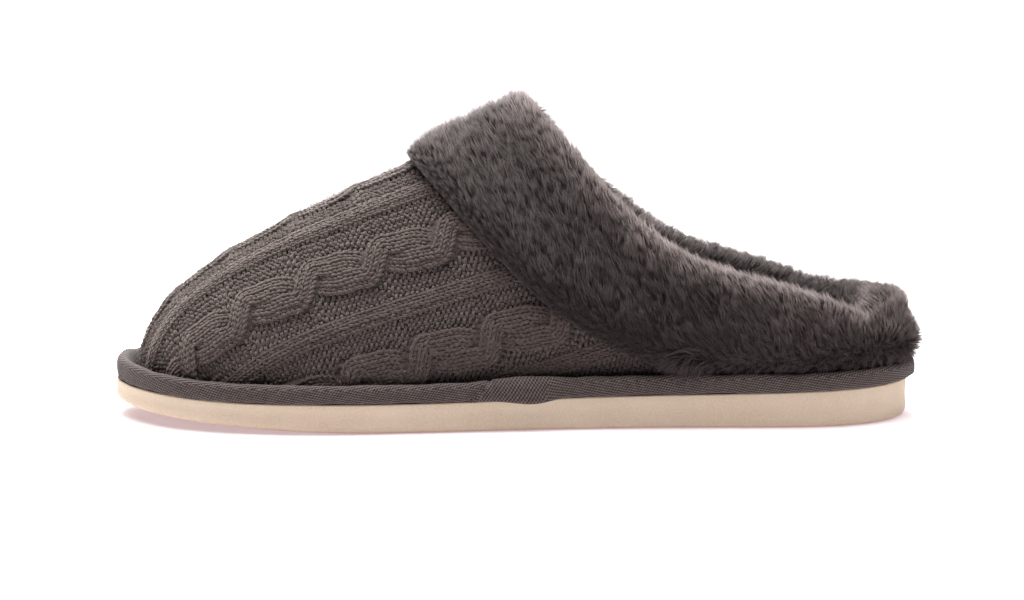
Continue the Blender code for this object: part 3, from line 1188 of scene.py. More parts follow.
    def grow(self, piece: Object, tree: NodeTree, values: dict, finish: Finish) -> None:
        """Runs a tree on an object and keeps the result as its plain mesh.

        Args:
            piece: Object whose mesh holds the points or the surface.
            tree: One of the two trees.
            values: Values of the tree's other named inputs.
            finish: Finish of the copies.
        """
        values = values | {"Finish": self.workshop.material(finish)}
        modifier = piece.modifiers.new("grow", "NODES")
        modifier.node_group = tree
        for item in tree.interface.items_tree:
            if item.item_type == "SOCKET" and item.in_out == "INPUT" and item.name in values:
                modifier[item.identifier] = values[item.name]
        board = bpy.context.evaluated_depsgraph_get()
        grown = bpy.data.meshes.new_from_object(
            piece.evaluated_get(board), preserve_all_data_layers=True, depsgraph=board
        )
        piece.modifiers.clear()
        grown.materials.clear()
        grown.materials.append(values["Finish"])
        grown.polygons.foreach_set("material_index", np.zeros(len(grown.polygons), np.int32))
        piece.data = grown
        grown.name = piece.name


@dataclass
class FoamSole:
    """The outsole: an upright side, rounded lower edge, sprung toe and a fine moulded tread."""

    last: LastForm
    workshop: Workshop
    around: int = 400
    rungs: int = 46
    edge_round: float = 0.0024
    top_round: float = 0.0006
    setback: float = 0.0005
    toe_out: float = 0.0010
    toe_reach: float = 0.42
    side_dish: float = 0.00025
    tread_pitch: float = 0.0085
    tread_depth: float = 0.0007
    tread_margin: float = 0.007
    tread_clear: float = 0.004
    tread_swing: float = 0.0022
    tread_swing_pitch: float = 0.020
    groove_from: float = 0.1
    groove_edge: float = 0.6
    steps: int = 5
    side_shares: tuple[float, ...] = (0.25, 0.5, 0.75)
    hidden_rungs: int = 2

    def build(self) -> None:
        """Builds the sole and hands it over."""
        angles = ring_angles(self.around)
        top = self.last.sole_top(angles)
        setback = self.setback - self.toe_out * bell(turn_from_toe(angles), self.toe_reach)
        rings = []
        for step in range(self.steps + 1):
            turn = math.pi / 2 * step / self.steps
            inset = setback + self.edge_round * (1 - math.sin(turn))
            ring = self.last.inset_ring(angles, inset)
            ring[:, 2] = self.last.underside(ring[:, 0]) + self.edge_round * (1 - math.cos(turn))
            rings.append(ring)
        low = rings[-1][:, 2]
        for share in self.side_shares:
            inset = setback + self.side_dish * math.sin(math.pi * share)
            rings.append(self.last.inset_ring(angles, inset, low + (top - self.top_round - low) * share))
        for step in range(self.steps):
            turn = math.pi / 2 * step / (self.steps - 1)
            inset = setback + self.top_round * (1 - math.cos(turn))
            rings.append(self.last.inset_ring(angles, inset, top - self.top_round * (1 - math.sin(turn))))
        points = np.concatenate(rings)
        faces = ring_faces(len(rings), self.around)
        points, faces = self._close(points, faces, 0, upward=False)
        painted_top_from = len(faces)
        points, faces = self._close(points, faces, (len(rings) - 1) * self.around, upward=True)
        mesh = self.workshop.mesh("foam_sole", points, faces)
        piece = self.workshop.add(mesh, FOAM, PAINTED_SHADE_GROUND)
        # Painted shade: the top leaf under the tape takes the dark ground finish, so the gap under the tape
        # reads dark.
        for face in list(mesh.polygons)[painted_top_from:]:
            face.material_index = 1
        self.workshop.hand_over(piece, Slot.FOAM, "outsole")

    def _close(self, points: Array, faces: list, first: int, upward: bool) -> tuple[Array, list]:
        """Closes one end ring with a leaf of rungs, with the tread on the underside.

        Args:
            points: Points so far.
            faces: Faces so far.
            first: Number of the ring's first point.
            upward: Whether the leaf is the hidden top.

        Returns:
            The points and the faces, with the leaf's own added.
        """
        half = self.around // 2
        near = first + np.arange(half + 1)
        far = first + (-np.arange(half + 1)) % self.around
        rungs = self.hidden_rungs if upward else self.rungs
        share = (np.arange(1, rungs) / rungs)[None, :, None]
        inner = points[near[1:-1], None] * (1 - share) + points[far[1:-1], None] * share
        if not upward:
            inner[..., 2] += self.tread(inner, points[near[1:-1]], points[far[1:-1]])
        grid = len(points) + np.arange(inner[..., 0].size).reshape(inner.shape[:2])
        leaf = ladder_faces(near, far, grid)
        if upward:
            leaf = [face[::-1] for face in leaf]
        return np.concatenate([points, inner.reshape(-1, 3)]), faces + [face[::-1] for face in leaf]

    def tread(self, inner: Array, near: Array, far: Array) -> Array:
        """Depth of the tread's grooves, none near the sole's edge.

        Args:
            inner: Places on the underside, a row for each rung.
            near: Inner end of each rung.
            far: Outer end of each rung.

        Returns:
            How far the foam goes in at each place.
        """
        x, y = inner[..., 0], inner[..., 1]
        to_side = np.minimum(np.abs(y - near[:, None, 1]), np.abs(y - far[:, None, 1]))
        to_end = np.minimum(x - near[0, 0], near[-1, 0] - x)
        fade = smooth_step((np.minimum(to_side, to_end) - self.tread_clear) / self.tread_margin)
        swing = self.tread_swing * np.sin(FULL_TURN * y / self.tread_swing_pitch)
        wave = np.sin(FULL_TURN * (x + swing) / self.tread_pitch)
        return self.tread_depth * fade * smooth_step((wave - self.groove_from) / self.groove_edge)


@dataclass
class EdgeBinding:
    """The herringbone tape rolled over the edge, with the place on the inner side where its ends lap."""

    last: LastForm
    workshop: Workshop
    width: float = 0.0056
    bulge: float = 0.0007
    squareness: float = 2.5
    low_squareness: float = 4.5
    settled: float = 0.7
    # Painted shade on the tape's inner side: how dark, and where it begins and how far it runs.
    inner_painted_shade_strength: float = 0.75
    tuck_from: float = -0.15
    tuck_span: float = 0.9
    inner_drop: float = 0.0030
    steps: int = 28
    even_steps: int = 420
    lap_steps: int = 130
    lap_from: float = -0.020
    lap_to: float = 0.024
    lap_clear: float = 0.01
    fold_top: float = -0.0085
    fold_bottom: float = -0.0160
    fold_step: float = 0.00050
    fold_sharpness: float = 0.0007
    doubled_to: float = 0.002
    doubled_fade: float = 0.018
    groove_before: float = 0.0003
    groove_width: float = 0.0005
    groove_depth: float = 0.00040
    sag_middle: float = 0.0045
    sag_reach: float = 0.0075
    sag: float = 0.0008
    sag_swell: float = 0.0003
    lift: float = 0.0005
    lift_rise: float = 0.006
    lift_to: float = 0.030
    lift_fade: float = 0.06
    turned: float = -70.0
    turned_top: float = 0.0095
    turned_bottom: float = 0.0069
    weave_end: float = 0.020
    weave_shift: float = 0.50
    face_turn: float = 0.45
    pucker: float = 0.00022
    pucker_size: float = 0.012
    pucker_seed: int = 5
    toe_height: float = 0.0017
    toe_inset: float = 0.0005
    heel_out: float = 0.0015
    end_reach: float = 0.42

    def angles(self) -> Array:
        """Angles of the sections, close together at the lap.

        Returns:
            The angles, in order.
        """
        even = ring_angles(self.even_steps)
        places = np.linspace(self.lap_from, self.lap_to, self.lap_steps)
        lap = np.arccos(1 - 2 * (places - self.last.toe_x) / self.last.sole_length)
        clear = (even < lap[0] - self.lap_clear) | (even > lap[-1] + self.lap_clear)
        return np.sort(np.concatenate([even[clear], lap]))

    def build(self) -> None:
        """Builds the tape and hands it over."""
        angles = self.angles()
        turns = (np.arange(self.steps) + 0.5) * FULL_TURN / self.steps
        sideways, upwards = np.cos(turns)[:, None], np.sin(turns)[:, None]
        power = 2 / np.where(upwards < 0, self.low_squareness, self.squareness)
        across = np.sign(sideways) * np.abs(sideways) ** power
        along = np.sign(upwards) * np.abs(upwards) ** power
        inner, outer = (1 + across) / 2, (1 - across) / 2
        high, low = (1 + along) / 2, (1 - along) / 2
        swell, sag, lifted = self._lap(angles, along)
        at_toe = bell(turn_from_toe(angles), self.end_reach)[None]
        at_heel = bell(angles - math.pi, self.end_reach)[None]
        height = (self.last.binding_height + self.toe_height * at_toe) * high + self.last.gap
        height = height + self.lift * lifted * high - self.sag * sag * low
        height = height + along * swell - self.last.gap * self.settled * low
        height = height - self.inner_drop * inner**3 * high
        bulge = self.bulge + self.heel_out * at_heel - self.toe_inset * at_toe
        inset = self.width * inner - bulge * outer - self.bulge * inner + across * swell
        sections = np.broadcast_to(angles, inset.shape)
        ring = self.last.inset_ring(sections, inset, self.last.sole_top(sections) + height)
        outward = self.last.edge_normal(angles)[None] * -across[..., None] + UP * along[..., None]
        lumps = soft_lumps(ring, self.pucker_size, self.pucker_seed)
        ring = ring + unit(outward) * (self.pucker * lumps)[..., None]
        faces = ring_faces(self.steps, len(angles), closed_rows=True)
        mesh = self.workshop.mesh("edge_binding", ring, faces)
        mesh.flip_normals()
        self._lay_weave(mesh, ring, turns, angles)
        # Painted shade: the tape's inner side, turned towards the knit, is darkened.
        tucked = self.inner_painted_shade_strength * smooth_step((across - self.tuck_from) / self.tuck_span)
        self.workshop.keep(mesh, tucked=np.broadcast_to(tucked, inset.shape))
        piece = self.workshop.add(mesh, TAPE)
        self.workshop.hand_over(piece, Slot.TAPE, "binding")

    def _lap(self, angles: Array, along: Array) -> tuple[Array, Array, Array]:
        """What the lap does to the tape, on the inner side only.

        Args:
            angles: Angle of each section round the shoe.
            along: Height in the section, from -1 to 1, a row for each line along the tape.

        Returns:
            How far the tape swells, and how much of the sag and of the lift is felt.
        """
        x = self.last.edge_point(angles)[None, :, 0]
        near = (np.sin(angles) > 0)[None, :]
        fold = self._slanting(self.fold_bottom, self.fold_top, along)
        past = smooth_step((x - fold) / self.fold_sharpness + 0.5) * near
        doubled = past * (1 - smooth_step((x - self.doubled_to) / self.doubled_fade))
        groove = bell(x - fold + self.groove_before, self.groove_width) * near
        sag = bell(x - self.sag_middle, self.sag_reach) * near
        lifted = smooth_step((x - self.fold_bottom) / self.lift_rise) * near
        lifted = lifted * (1 - smooth_step((x - self.lift_to) / self.lift_fade))
        swell = self.fold_step * doubled - self.groove_depth * groove + self.sag_swell * sag
        return swell, sag, lifted

    @staticmethod
    def _slanting(bottom: float, top: float, along: Array) -> Array:
        """Place of a slanting line at a height in the section, from -1 to 1."""
        return bottom + (top - bottom) * (1 + along) / 2

    def _lay_weave(self, mesh: Mesh, ring: Array, turns: Array, angles: Array) -> None:
        """Lays the tape's own length and width on the mesh, turned where the ends lap.

        Args:
            mesh: The tape.
            ring: Its points, a row for each line along the tape.
            turns: Angle of each row round the section.
            angles: Angle of each section round the shoe.
        """
        count = len(angles)
        middle = ring.mean(axis=0)
        length = run_length(np.concatenate([middle, middle[:1]]))
        width = run_length(np.concatenate([ring[:, 0], ring[:1, 0]]))
        face_middle = np.interp(math.pi - self.face_turn, turns, width[:-1])
        uv = mesh.uv_layers.new(name="tape")
        corners = np.zeros((len(mesh.loops), 2), np.float32)
        vertex = np.zeros(len(mesh.loops), np.int32)
        mesh.loops.foreach_get("vertex_index", vertex)
        row, column = vertex // count, vertex % count
        face = np.arange(len(vertex)) // 4
        column = np.where((column == 0) & (face % count == count - 1), count, column)
        row = np.where((row == 0) & (face // count == self.steps - 1), self.steps, row)
        corners[:, 0] = length[column]
        corners[:, 1] = width[row] - face_middle
        height = np.sin(turns)[np.minimum(face // count, self.steps - 1)]
        fold = self._slanting(self.fold_bottom, self.fold_top, height)
        centre = middle[face % count, 0]
        lapped = (centre > fold) & (centre < self.weave_end) & (middle[face % count, 1] < 0)
        switch = self._slanting(self.turned_bottom, self.turned_top, height)
        turn = np.where(lapped & (centre < switch), math.radians(self.turned), 0.0)
        along, across = corners[:, 0].copy(), corners[:, 1].copy()
        corners[:, 0] = along * np.cos(turn) + across * np.sin(turn)
        corners[:, 1] = across * np.cos(turn) - along * np.sin(turn)
        corners[lapped, 1] += self.weave_shift
        uv.data.foreach_set("uv", corners.ravel())


@dataclass
class Footbed:
    """The padded insole: dished, crowned and pressed in under the heel."""

    last: LastForm
    workshop: Workshop
    inset: float = 0.0112
    thickness: float = 0.0060
    edge_share: float = 0.35
    swell_share: float = 0.55
    edge_round: float = 0.0030
    crown: float = 0.0009
    crown_reach: float = 0.02
    heel_dent: float = 0.0012
    heel_x: float = 0.085
    heel_length: float = 0.03
    heel_width: float = 0.018
    lump: float = 0.0003
    lump_size: float = 0.018
    lump_seed: int = 9
    rungs: int = 22
    around: int = 160
    surface: Array = field(init=False)

    def build(self) -> None:
        """Builds the pad and hands it over."""
        half = self.around // 2
        angles = np.arange(half + 1) * math.pi / half
        near = self.last.inset_ring(angles, self.inset)
        far = self.last.inset_ring(FULL_TURN - angles, self.inset)
        share = np.linspace(0, 1, self.rungs + 1)
        flat = near[:, None] * (1 - share)[:, None] + far[:, None] * share[:, None]
        base = self.last.sole_top(angles)[:, None] + self.last.gap
        top, low = flat.copy(), flat.copy()
        top[..., 2] = base + self.thickness * self.edge_share + self._swell(flat, near, far)
        low[..., 2] = base
        self.surface = top
        points = np.concatenate([top[1:-1].reshape(-1, 3), low[1:-1].reshape(-1, 3), top[[0, -1], 0]])
        mesh = self.workshop.mesh("footbed", points, self._faces(half - 1, self.rungs + 1))
        piece = self.workshop.add(mesh, UNDERCOAT)
        self.workshop.hand_over(piece, Slot.PLUSH, "insole")

    def _faces(self, rows: int, columns: int) -> list[tuple[int, ...]]:
        """Faces of the top, the underside and the side, which end in a point at toe and heel.

        Args:
            rows: Number of rungs between the two ends.
            columns: Number of points on a rung.

        Returns:
            Point numbers of each face.
        """
        upper = np.arange(rows * columns).reshape(rows, columns)
        lower = upper + rows * columns
        toe, heel = 2 * rows * columns, 2 * rows * columns + 1
        faces = []
        for grid, order in ((upper, 1), (lower, -1)):
            for i in range(rows - 1):
                for k in range(columns - 1):
                    face = (grid[i, k], grid[i + 1, k], grid[i + 1, k + 1], grid[i, k + 1])
                    faces.append(face[::order])
            for k in range(columns - 1):
                faces.append((toe, grid[0, k], grid[0, k + 1])[::order])
                faces.append((heel, grid[-1, k + 1], grid[-1, k])[::order])
        for edge, order in ((0, 1), (columns - 1, -1)):
            high, low = upper[:, edge], lower[:, edge]
            for i in range(rows - 1):
                faces.append((high[i], low[i], low[i + 1], high[i + 1])[::order])
            faces.append((toe, low[0], high[0])[::order])
            faces.append((heel, high[-1], low[-1])[::order])
        return [tuple(int(i) for i in face) for face in faces]

    def _swell(self, flat: Array, near: Array, far: Array) -> Array:
        """Height of the pad above its edge.

        Args:
            flat: Places on the pad in plan, a row for each rung.
            near: Inner end of each rung.
            far: Outer end of each rung.

        Returns:
            The height at each place.
        """
        x, y = flat[..., 0], flat[..., 1]
        to_side = np.minimum(np.abs(y - near[:, None, 1]), np.abs(y - far[:, None, 1]))
        to_end = np.minimum(x - near[0, 0], near[-1, 0] - x)
        inward = np.minimum(np.minimum(to_side, to_end) / self.edge_round, 1)
        rounded = np.sqrt(np.maximum(0, 1 - (1 - inward) ** 2))
        crown = self.crown * smooth_step(to_side / self.crown_reach)
        heel = bell(x - self.heel_x, self.heel_length) * bell(y, self.heel_width)
        lumps = self.lump * soft_lumps(flat, self.lump_size, self.lump_seed)
        swell = crown - self.heel_dent * heel + lumps
        return self.thickness * self.swell_share * rounded + swell * rounded


@dataclass
class FabricMap:
    """Where each stitch of the knit lies, by row and column.

    A row is a distance up the top line from the toe, and its course lies in a tilted plane. A column is
    a distance round from the top line along that course.
    """

    last: LastForm
    length: float
    reach: float
    cell: float = 0.001
    last_share: float = 1.3
    share_steps: int = 209
    last_angle: float = 152.0
    angle_steps: int = 229
    tilt: float = 25.0
    toe_tilt: float = 27.0
    toe_reach: float = 0.050
    off_fabric: float = 0.2

    def __post_init__(self) -> None:
        """Finds the place of every cell."""
        self.shares = np.linspace(0, self.last_share, self.share_steps)
        self.rows = np.arange(0.0, self.length + self.cell, self.cell)
        half = round(self.reach / self.cell)
        self.columns = np.arange(-half, half + 1) * self.cell
        top_line = self.last.point(np.zeros_like(self.shares), self.shares)
        gone = run_length(top_line)
        self.starts = np.stack([np.interp(self.rows, gone, top_line[:, k]) for k in range(3)], axis=-1)
        near_toe = np.clip(1 - self.rows / self.toe_reach, 0.0, 1.0)
        tilt = np.radians(self.tilt + self.toe_tilt * near_toe**2)
        self.facing = np.stack([np.cos(tilt), np.zeros_like(tilt), np.sin(tilt)], axis=-1)
        self.angle = np.full((len(self.rows), len(self.columns)), np.nan)
        self.share = self.angle.copy()
        for side in (1, -1):
            self.angle[:, half::side], self.share[:, half::side] = self._half(side)

    def _half(self, side: int) -> tuple[Array, Array]:
        """Angle and share of the cells on one side, nan where the fabric has ended.

        Args:
            side: 1 for the inner side, -1 for the outer one.

        Returns:
            The angles and the shares, a row for each course.
        """
        angles = np.linspace(0, math.radians(self.last_angle), self.angle_steps) * side
        grid = self.last.point(*np.meshgrid(angles, self.shares, indexing="ij"))
        wanted = np.arange(len(self.columns) // 2 + 1) * self.cell
        found_angle = np.full((len(self.rows), len(wanted)), np.nan)
        found_share = found_angle.copy()
        for i, (start, facing) in enumerate(zip(self.starts, self.facing)):
            beyond = (grid - start) @ facing
            count = int(np.logical_and.accumulate(beyond[:, 0] <= 0).sum())
            if count < 2:
                continue
            cut = np.array([np.interp(0.0, beyond[j], self.shares) for j in range(count)])
            gone = run_length(self.last.point(angles[:count], cut))
            within = wanted <= gone[-1]
            found_angle[i, within] = np.interp(wanted[within], gone, angles[:count])
            found_share[i, within] = np.interp(wanted[within], gone, cut)
        return found_angle, found_share

    def locate(self, row: Array, column: Array) -> tuple[Array, Array]:
        """Angle and share of places on the fabric.

        Args:
            row: Their rows.
            column: Their columns.

        Returns:
            The angles and the shares, nan off the fabric.
        """
        i = np.clip(row / self.cell, 0, len(self.rows) - 1 - TINY_CELL)
        j = np.clip(column / self.cell + len(self.columns) // 2, 0, len(self.columns) - 1 - TINY_CELL)
        i0, j0 = i.astype(int), j.astype(int)
        di, dj = i - i0, j - j0
        found = []
        for table in (self.angle, self.share):
            low = table[i0, j0] * (1 - dj) + table[i0, j0 + 1] * dj
            high = table[i0 + 1, j0] * (1 - dj) + table[i0 + 1, j0 + 1] * dj
            found.append(low * (1 - di) + high * di)
        return found[0], found[1]

    def places(self, row: Array, column: Array) -> Array:
        """Places on the outside of the last."""
        return self.last.point(*self.locate(row, column))

    def column_direction(self, row: Array, column: Array) -> Array:
        """Direction in which the columns count up, 0 where it is not known."""
        off = self.places(row, column + self.cell) - self.places(row, column - self.cell)
        return np.where(np.isfinite(off), off, 0.0)

    def find(self, angle: Array, share: Array) -> tuple[Array, Array]:
        """Row and column of places on the last.

        Args:
            angle: Angles between -pi and pi.
            share: Shares of the way up.

        Returns:
            The rows and the columns; the column is far beyond the fabric where the place is.
        """
        points = self.last.point(angle, share)
        beyond = np.einsum("nrk,rk->nr", points[:, None] - self.starts[None], self.facing)
        low = np.clip((beyond > 0).sum(axis=1) - 1, 0, len(self.rows) - 2)
        here = np.arange(len(points))
        before, after = beyond[here, low], beyond[here, low + 1]
        part = np.clip(before / np.where(before == after, 1.0, before - after), 0, 1)
        row = (low + part) * self.cell
        column = np.zeros_like(row)
        middle = len(self.columns) // 2
        for i in np.unique(low):
            for side in (1, -1):
                mine = (low == i) & (np.sign(angle) * side >= 0)
                table = np.abs(self.angle[i, middle::side])
                known = np.isfinite(table)
                if known.sum() > 1 and mine.any():
                    far = np.abs(angle[mine])
                    reach = np.interp(far, table[known], np.flatnonzero(known) * self.cell)
                    column[mine] = side * (reach + self.off_fabric * (far > table[known].max()))
        return row, column


@dataclass
class StitchSheet:
    """Yarn segments gathered before they are set on the last."""

    parts: list[tuple[Array, ...]] = field(default_factory=list)

    def put(self, row: Array, column: Array, lift: Array, slant: Array, size: tuple) -> None:
        """Adds segments.

        Args:
            row: Their rows.
            column: Their columns.
            lift: How high they lie over the outside of the last.
            slant: How far they are turned from the wale.
            size: How wide, long and thick they are.
        """
        sizes = [np.broadcast_to(part, row.shape) for part in size]
        self.parts.append((*np.broadcast_arrays(row, column, lift, slant), np.stack(sizes, axis=-1)))

    def gathered(self) -> tuple[Array, ...]:
        """Rows, columns, lifts, slants and sizes of all segments."""
        return tuple(np.concatenate(part) for part in zip(*self.parts))


@dataclass
class KnitUpper:
    """The knit upper: a wall with a dark ground outside, painted shade for the gaps between stitches, a
    lining inside, and every stitch's yarn.
    """

    last: LastForm
    workshop: Workshop
    scatter: Scatter
    wale: float = 0.00207
    cable_wale: float = 0.00252
    course: float = 0.00164
    fabric_length: float = 0.188
    under_cuff: float = 0.005
    reach: float = 0.112
    yarn: float = 0.00102
    leg_slant: float = 19.0
    cross_first: float = 0.007
    cross_period: float = 0.023
    cross_half: float = 0.0050
    back_half: float = 0.0095
    back_rest: float = 0.0020
    cross_spread: float = 0.0055
    cross_over: float = 0.46
    cross_pinch: float = 0.15
    cross_fan: float = 0.72
    hidden: float = 0.0018
    crown_share: float = 0.55
    crown_sink: float = 0.0012
    crown_reach: float = 0.011
    purl_tuck: float = 0.0007
    # Painted light: purl stitches painted paler to offset the shade they lie in below the cables and ribs,
    # and a painted highlight along the top line.
    purl_painted_light: float = 0.058
    painted_highlight_most: float = 0.095
    painted_highlight_middle: float = 0.0010
    painted_highlight_reach: float = 0.0120
    fuzz_reach: float = 0.0080
    fuzz_least: float = 0.07
    fuzz_length: float = 0.0013
    fuzz_back: float = 0.5
    fuzz_stand: float = 0.35
    fuzz_from: float = 0.09
    fuzz_from_reach: float = 0.03
    fuzz_to_reach: float = 0.05
    purl_lift: float = -0.00095
    purl_step: float = 0.00040
    purl_tip: float = 20.0
    purl_upper: float = 1.30
    purl_lower: float = 1.15
    purl_length: float = 1.08
    leg_width: float = 0.57
    leg_length: float = 1.75
    leg_lean_length: float = 0.45
    least_narrowing: float = 0.62
    rib_lift: float = -0.00025
    rib_round: float = 0.00020
    leaf_lift: float = 0.00062
    leaf_round: float = 0.00085
    front_lift: float = 0.00150
    front_round: float = 0.00045
    back_lift: float = -0.00075
    ground: float = 0.00052
    ground_step: float = 0.0004
    ground_strand: float = 1.5
    ground_fill: float = 0.00015
    ground_round: float = 0.0003
    filled: float = 0.9
    filled_over: float = 0.0005
    wall_around: int = 288
    wall_rows: int = 76
    lining_rows: int = 14
    bare_reach: float = 0.04
    bare_relief: float = -0.0012
    tape_share: float = 0.45
    tuck: float = 0.0014
    tuck_before: float = 0.001
    tuck_reach: float = 0.003
    path_step: float = 0.0001
    plain_stray: tuple[float, ...] = (0.00008, 0.00007, 0.00007, 0.10)
    purl_stray: tuple[float, ...] = (0.00011, 0.00011, 0.00012, 0.13)
    unevenness: float = 0.07
    seed: int = 11
    fabric: FabricMap = field(init=False)

    def build(self) -> None:
        """Builds the wall, the stitches of both sides and the loose fibres."""
        self.fabric = FabricMap(self.last, self.fabric_length, self.reach)
        ring, shares = np.meshgrid(ring_angles(self.wall_around), np.linspace(0, 1, self.wall_rows))
        signed = np.where(ring > math.pi, ring - FULL_TURN, ring)
        row, column = self.fabric.find(signed.ravel(), shares.ravel())
        relief = self.relief(row, column).reshape(ring.shape)
        column = column.reshape(ring.shape)
        bare = smooth_step((shares - self.last.cuff_start(ring)) / self.bare_reach)
        relief = relief * (1 - bare) + np.minimum(relief, self.bare_relief) * bare
        relief[0] = np.minimum(relief[0], 0)
        self._wall(ring, shares, column, relief)
        sheet = self._chart()
        shape = self._yarn_shape()
        self._stitches("knit_inner_side", sheet, 1, shape)
        self._stitches("knit_outer_side", sheet, -1, shape)
        bpy.data.objects.remove(shape)
        self._fuzz(ring, shares, column, relief)

    def _wall(self, ring: Array, shares: Array, column: Array, relief: Array) -> None:
        """The wall behind the stitches: its outside follows the cables, its inside is lined.

        Args:
            ring: Angles of its outside points, in rows.
            shares: Their shares of the way up.
            column: Their columns in the fabric.
            relief: Their heights over the outside of the last.
        """
        outside = self.last.point(ring, shares)
        normals, _ = self.last.directions(ring, shares)
        inner_ring, inner_shares = np.meshgrid(ring[0], np.linspace(0, 1, self.lining_rows))
        inner_normals, _ = self.last.directions(inner_ring, inner_shares)
        inside = self.last.point(inner_ring, inner_shares) - inner_normals * self.last.wall
        low_inset = self.last.upper_inset + self.last.wall
        inside[0] = self.last.inset_ring(ring[0], low_inset, outside[0, :, 2])
        skin = np.concatenate([outside + normals * relief[..., None], inside[::-1]])
        faces = ring_faces(len(skin), self.wall_around, closed_rows=True)
        mesh = self.workshop.mesh("knit_wall", skin, faces)
        # The ground's painted shade is lighter where it lies under the raised cables and ribs.
        raised = relief > self.purl_lift - self.ground + self.filled_over - self._sink(column)
        self.workshop.keep(mesh, filled=np.concatenate([self.filled * raised, np.zeros_like(inner_shares)]))
        piece = self.workshop.add(mesh, PAINTED_SHADE_GROUND, UNDERCOAT)
        lining = np.zeros(len(mesh.polygons), np.int32)
        lining[relief.size :] = 1
        mesh.polygons.foreach_set("material_index", lining)
        self.workshop.hand_over(piece, Slot.KNIT, "upper")

    def relief(self, row: Array, column: Array) -> Array:
        """Height of the ground under the stitches.

        Args:
            row: Rows in the fabric.
            column: Columns in the fabric.

        Returns:
            The height over the outside of the last at each place.
        """
        height = np.full(row.shape, self.purl_lift)
        path = np.arange(0.0, self.fabric_length, self.ground_step)
        for band in self.bands():
            if band.kind is Band.RIB:
                off = (column - band.centre) / self.wale
                rib = self.rib_lift - self.rib_round * off**2
                height = np.where(np.abs(off) < band.wales / 2, rib, height)
            else:
                reach = self.ground_strand * band.wales / 2 * self.cable_wale
                near = np.flatnonzero(np.abs(column - band.centre) < reach)
                for strand in (0, 1):
                    centre, _, lift, _ = self._strand(path, band, strand)
                    away = np.hypot(row[near, None] - path, column[near, None] - centre)
                    closest = np.argmin(away, axis=1)
                    off = away[np.arange(len(near)), closest] / self.cable_wale
                    bulge = lift[closest] + self.ground_fill - self.ground_round * off**2
                    bulge = np.maximum(height[near], bulge)
                    height[near] = np.where(off < self.ground_strand, bulge, height[near])
        return height - self.ground - self._sink(column)

    def _fuzz(self, ring: Array, shares: Array, column: Array, relief: Array) -> None:
        """Loose fibres that stand off the yarn: most along the top line, where their tips carry a painted
        highlight, none under the cuff.

        Args:
            ring: Angles of the wall's outside points, in rows.
            shares: Their shares of the way up.
            column: Their columns in the fabric.
            relief: Their heights over the outside of the last.
        """
        top_line = bell(column, self.fuzz_reach)
        clear = smooth_step((self.last.cuff_start(ring) - shares) / self.fuzz_to_reach)
        clear = clear * smooth_step((shares - self.fuzz_from) / self.fuzz_from_reach)
        cover = (self.fuzz_least + (1 - self.fuzz_least) * top_line) * clear
        normals, _ = self.last.directions(ring, shares)
        proud = relief + self.ground + self.yarn * self.fuzz_stand
        skin = self.last.point(ring, shares) + normals * proud[..., None]
        kept = {"lay": unit(normals + self.fuzz_back * BACK * normals[..., 2:3]), "outward": normals}
        # Painted highlight on the fuzz tips, as strong as the fuzz is dense.
        kept |= {"pile": np.full(ring.shape, self.fuzz_length), "cover": cover, "pale": cover}
        self.scatter.strew("yarn_fuzz", skin, ring_faces(*ring.shape), kept, FUZZ_PILE, self.seed)

    def _sink(self, column: Array) -> Array:
        """How far the fabric sinks in along the top line, where its own thickness would stand proud."""
        return self.crown_sink * bell(column, self.crown_reach)

    def bands(self) -> list[BandRow]:
        """The bands of both sides, from the outer side's lowest to the inner side's lowest."""
        both = {row._replace(centre=side * row.centre) for row in BAND_ROWS for side in (1, -1)}
        return sorted(both, key=lambda band: band.centre)

    def _yarn_shape(self) -> Object:
        """One segment of yarn: 1 long, 1 wide and 1 thick, its ends bent down and drawn to a point.

        Returns:
            The segment, outside the scene.
        """
        sides = YARN_SIDES
        points = [(0.0, -0.5, YARN_END_DROP)]
        for along, fullness in YARN_STATIONS:
            for k in range(sides):
                turn = FULL_TURN * (k + 0.5) / sides
                drop = YARN_BEND * (2 * along) ** 2
                half = 0.5 * fullness
                points.append((half * math.cos(turn), along, drop + half * math.sin(turn)))
        points.append((0.0, 0.5, YARN_END_DROP))
        last = len(points) - 1
        faces = [(0, 1 + (k + 1) % sides, 1 + k) for k in range(sides)]
        faces += [tuple(1 + i for i in face) for face in ring_faces(len(YARN_STATIONS), sides)]
        faces += [(last, last - sides + k, last - sides + (k + 1) % sides) for k in range(sides)]
        mesh = self.workshop.mesh("yarn_segment", np.array(points), faces)
        mesh.flip_normals()
        uv = mesh.uv_layers.new(name="yarn")
        for loop in mesh.loops:
            number = loop.vertex_index
            turn = 0.5 if number in (0, last) else ((number - 1) % sides) / sides
            uv.data[loop.index].uv = (turn, points[number][1] + 0.5)
        return bpy.data.objects.new("yarn_segment", mesh)

    def _chart(self) -> StitchSheet:
        """Lays out every stitch of every band, by row and column.

        Returns:
            The chart of the whole knit.
        """
        sheet = StitchSheet()
        rows = np.arange(0.5, (self.fabric_length - 2 * self.fabric.cell) / self.course) * self.course
        edge = np.full_like(rows, -self.reach)
        for band in self.bands():
            if band.kind is Band.CABLE:
                self._cable(sheet, rows, band)
            else:
                self._rib(sheet, rows, band)
            low, high = self._outline(rows, band)
            self._purl_band(sheet, rows, edge, low + self.purl_tuck)
            edge = high - self.purl_tuck
        self._purl_band(sheet, rows, edge, np.full_like(rows, self.reach))
        return sheet

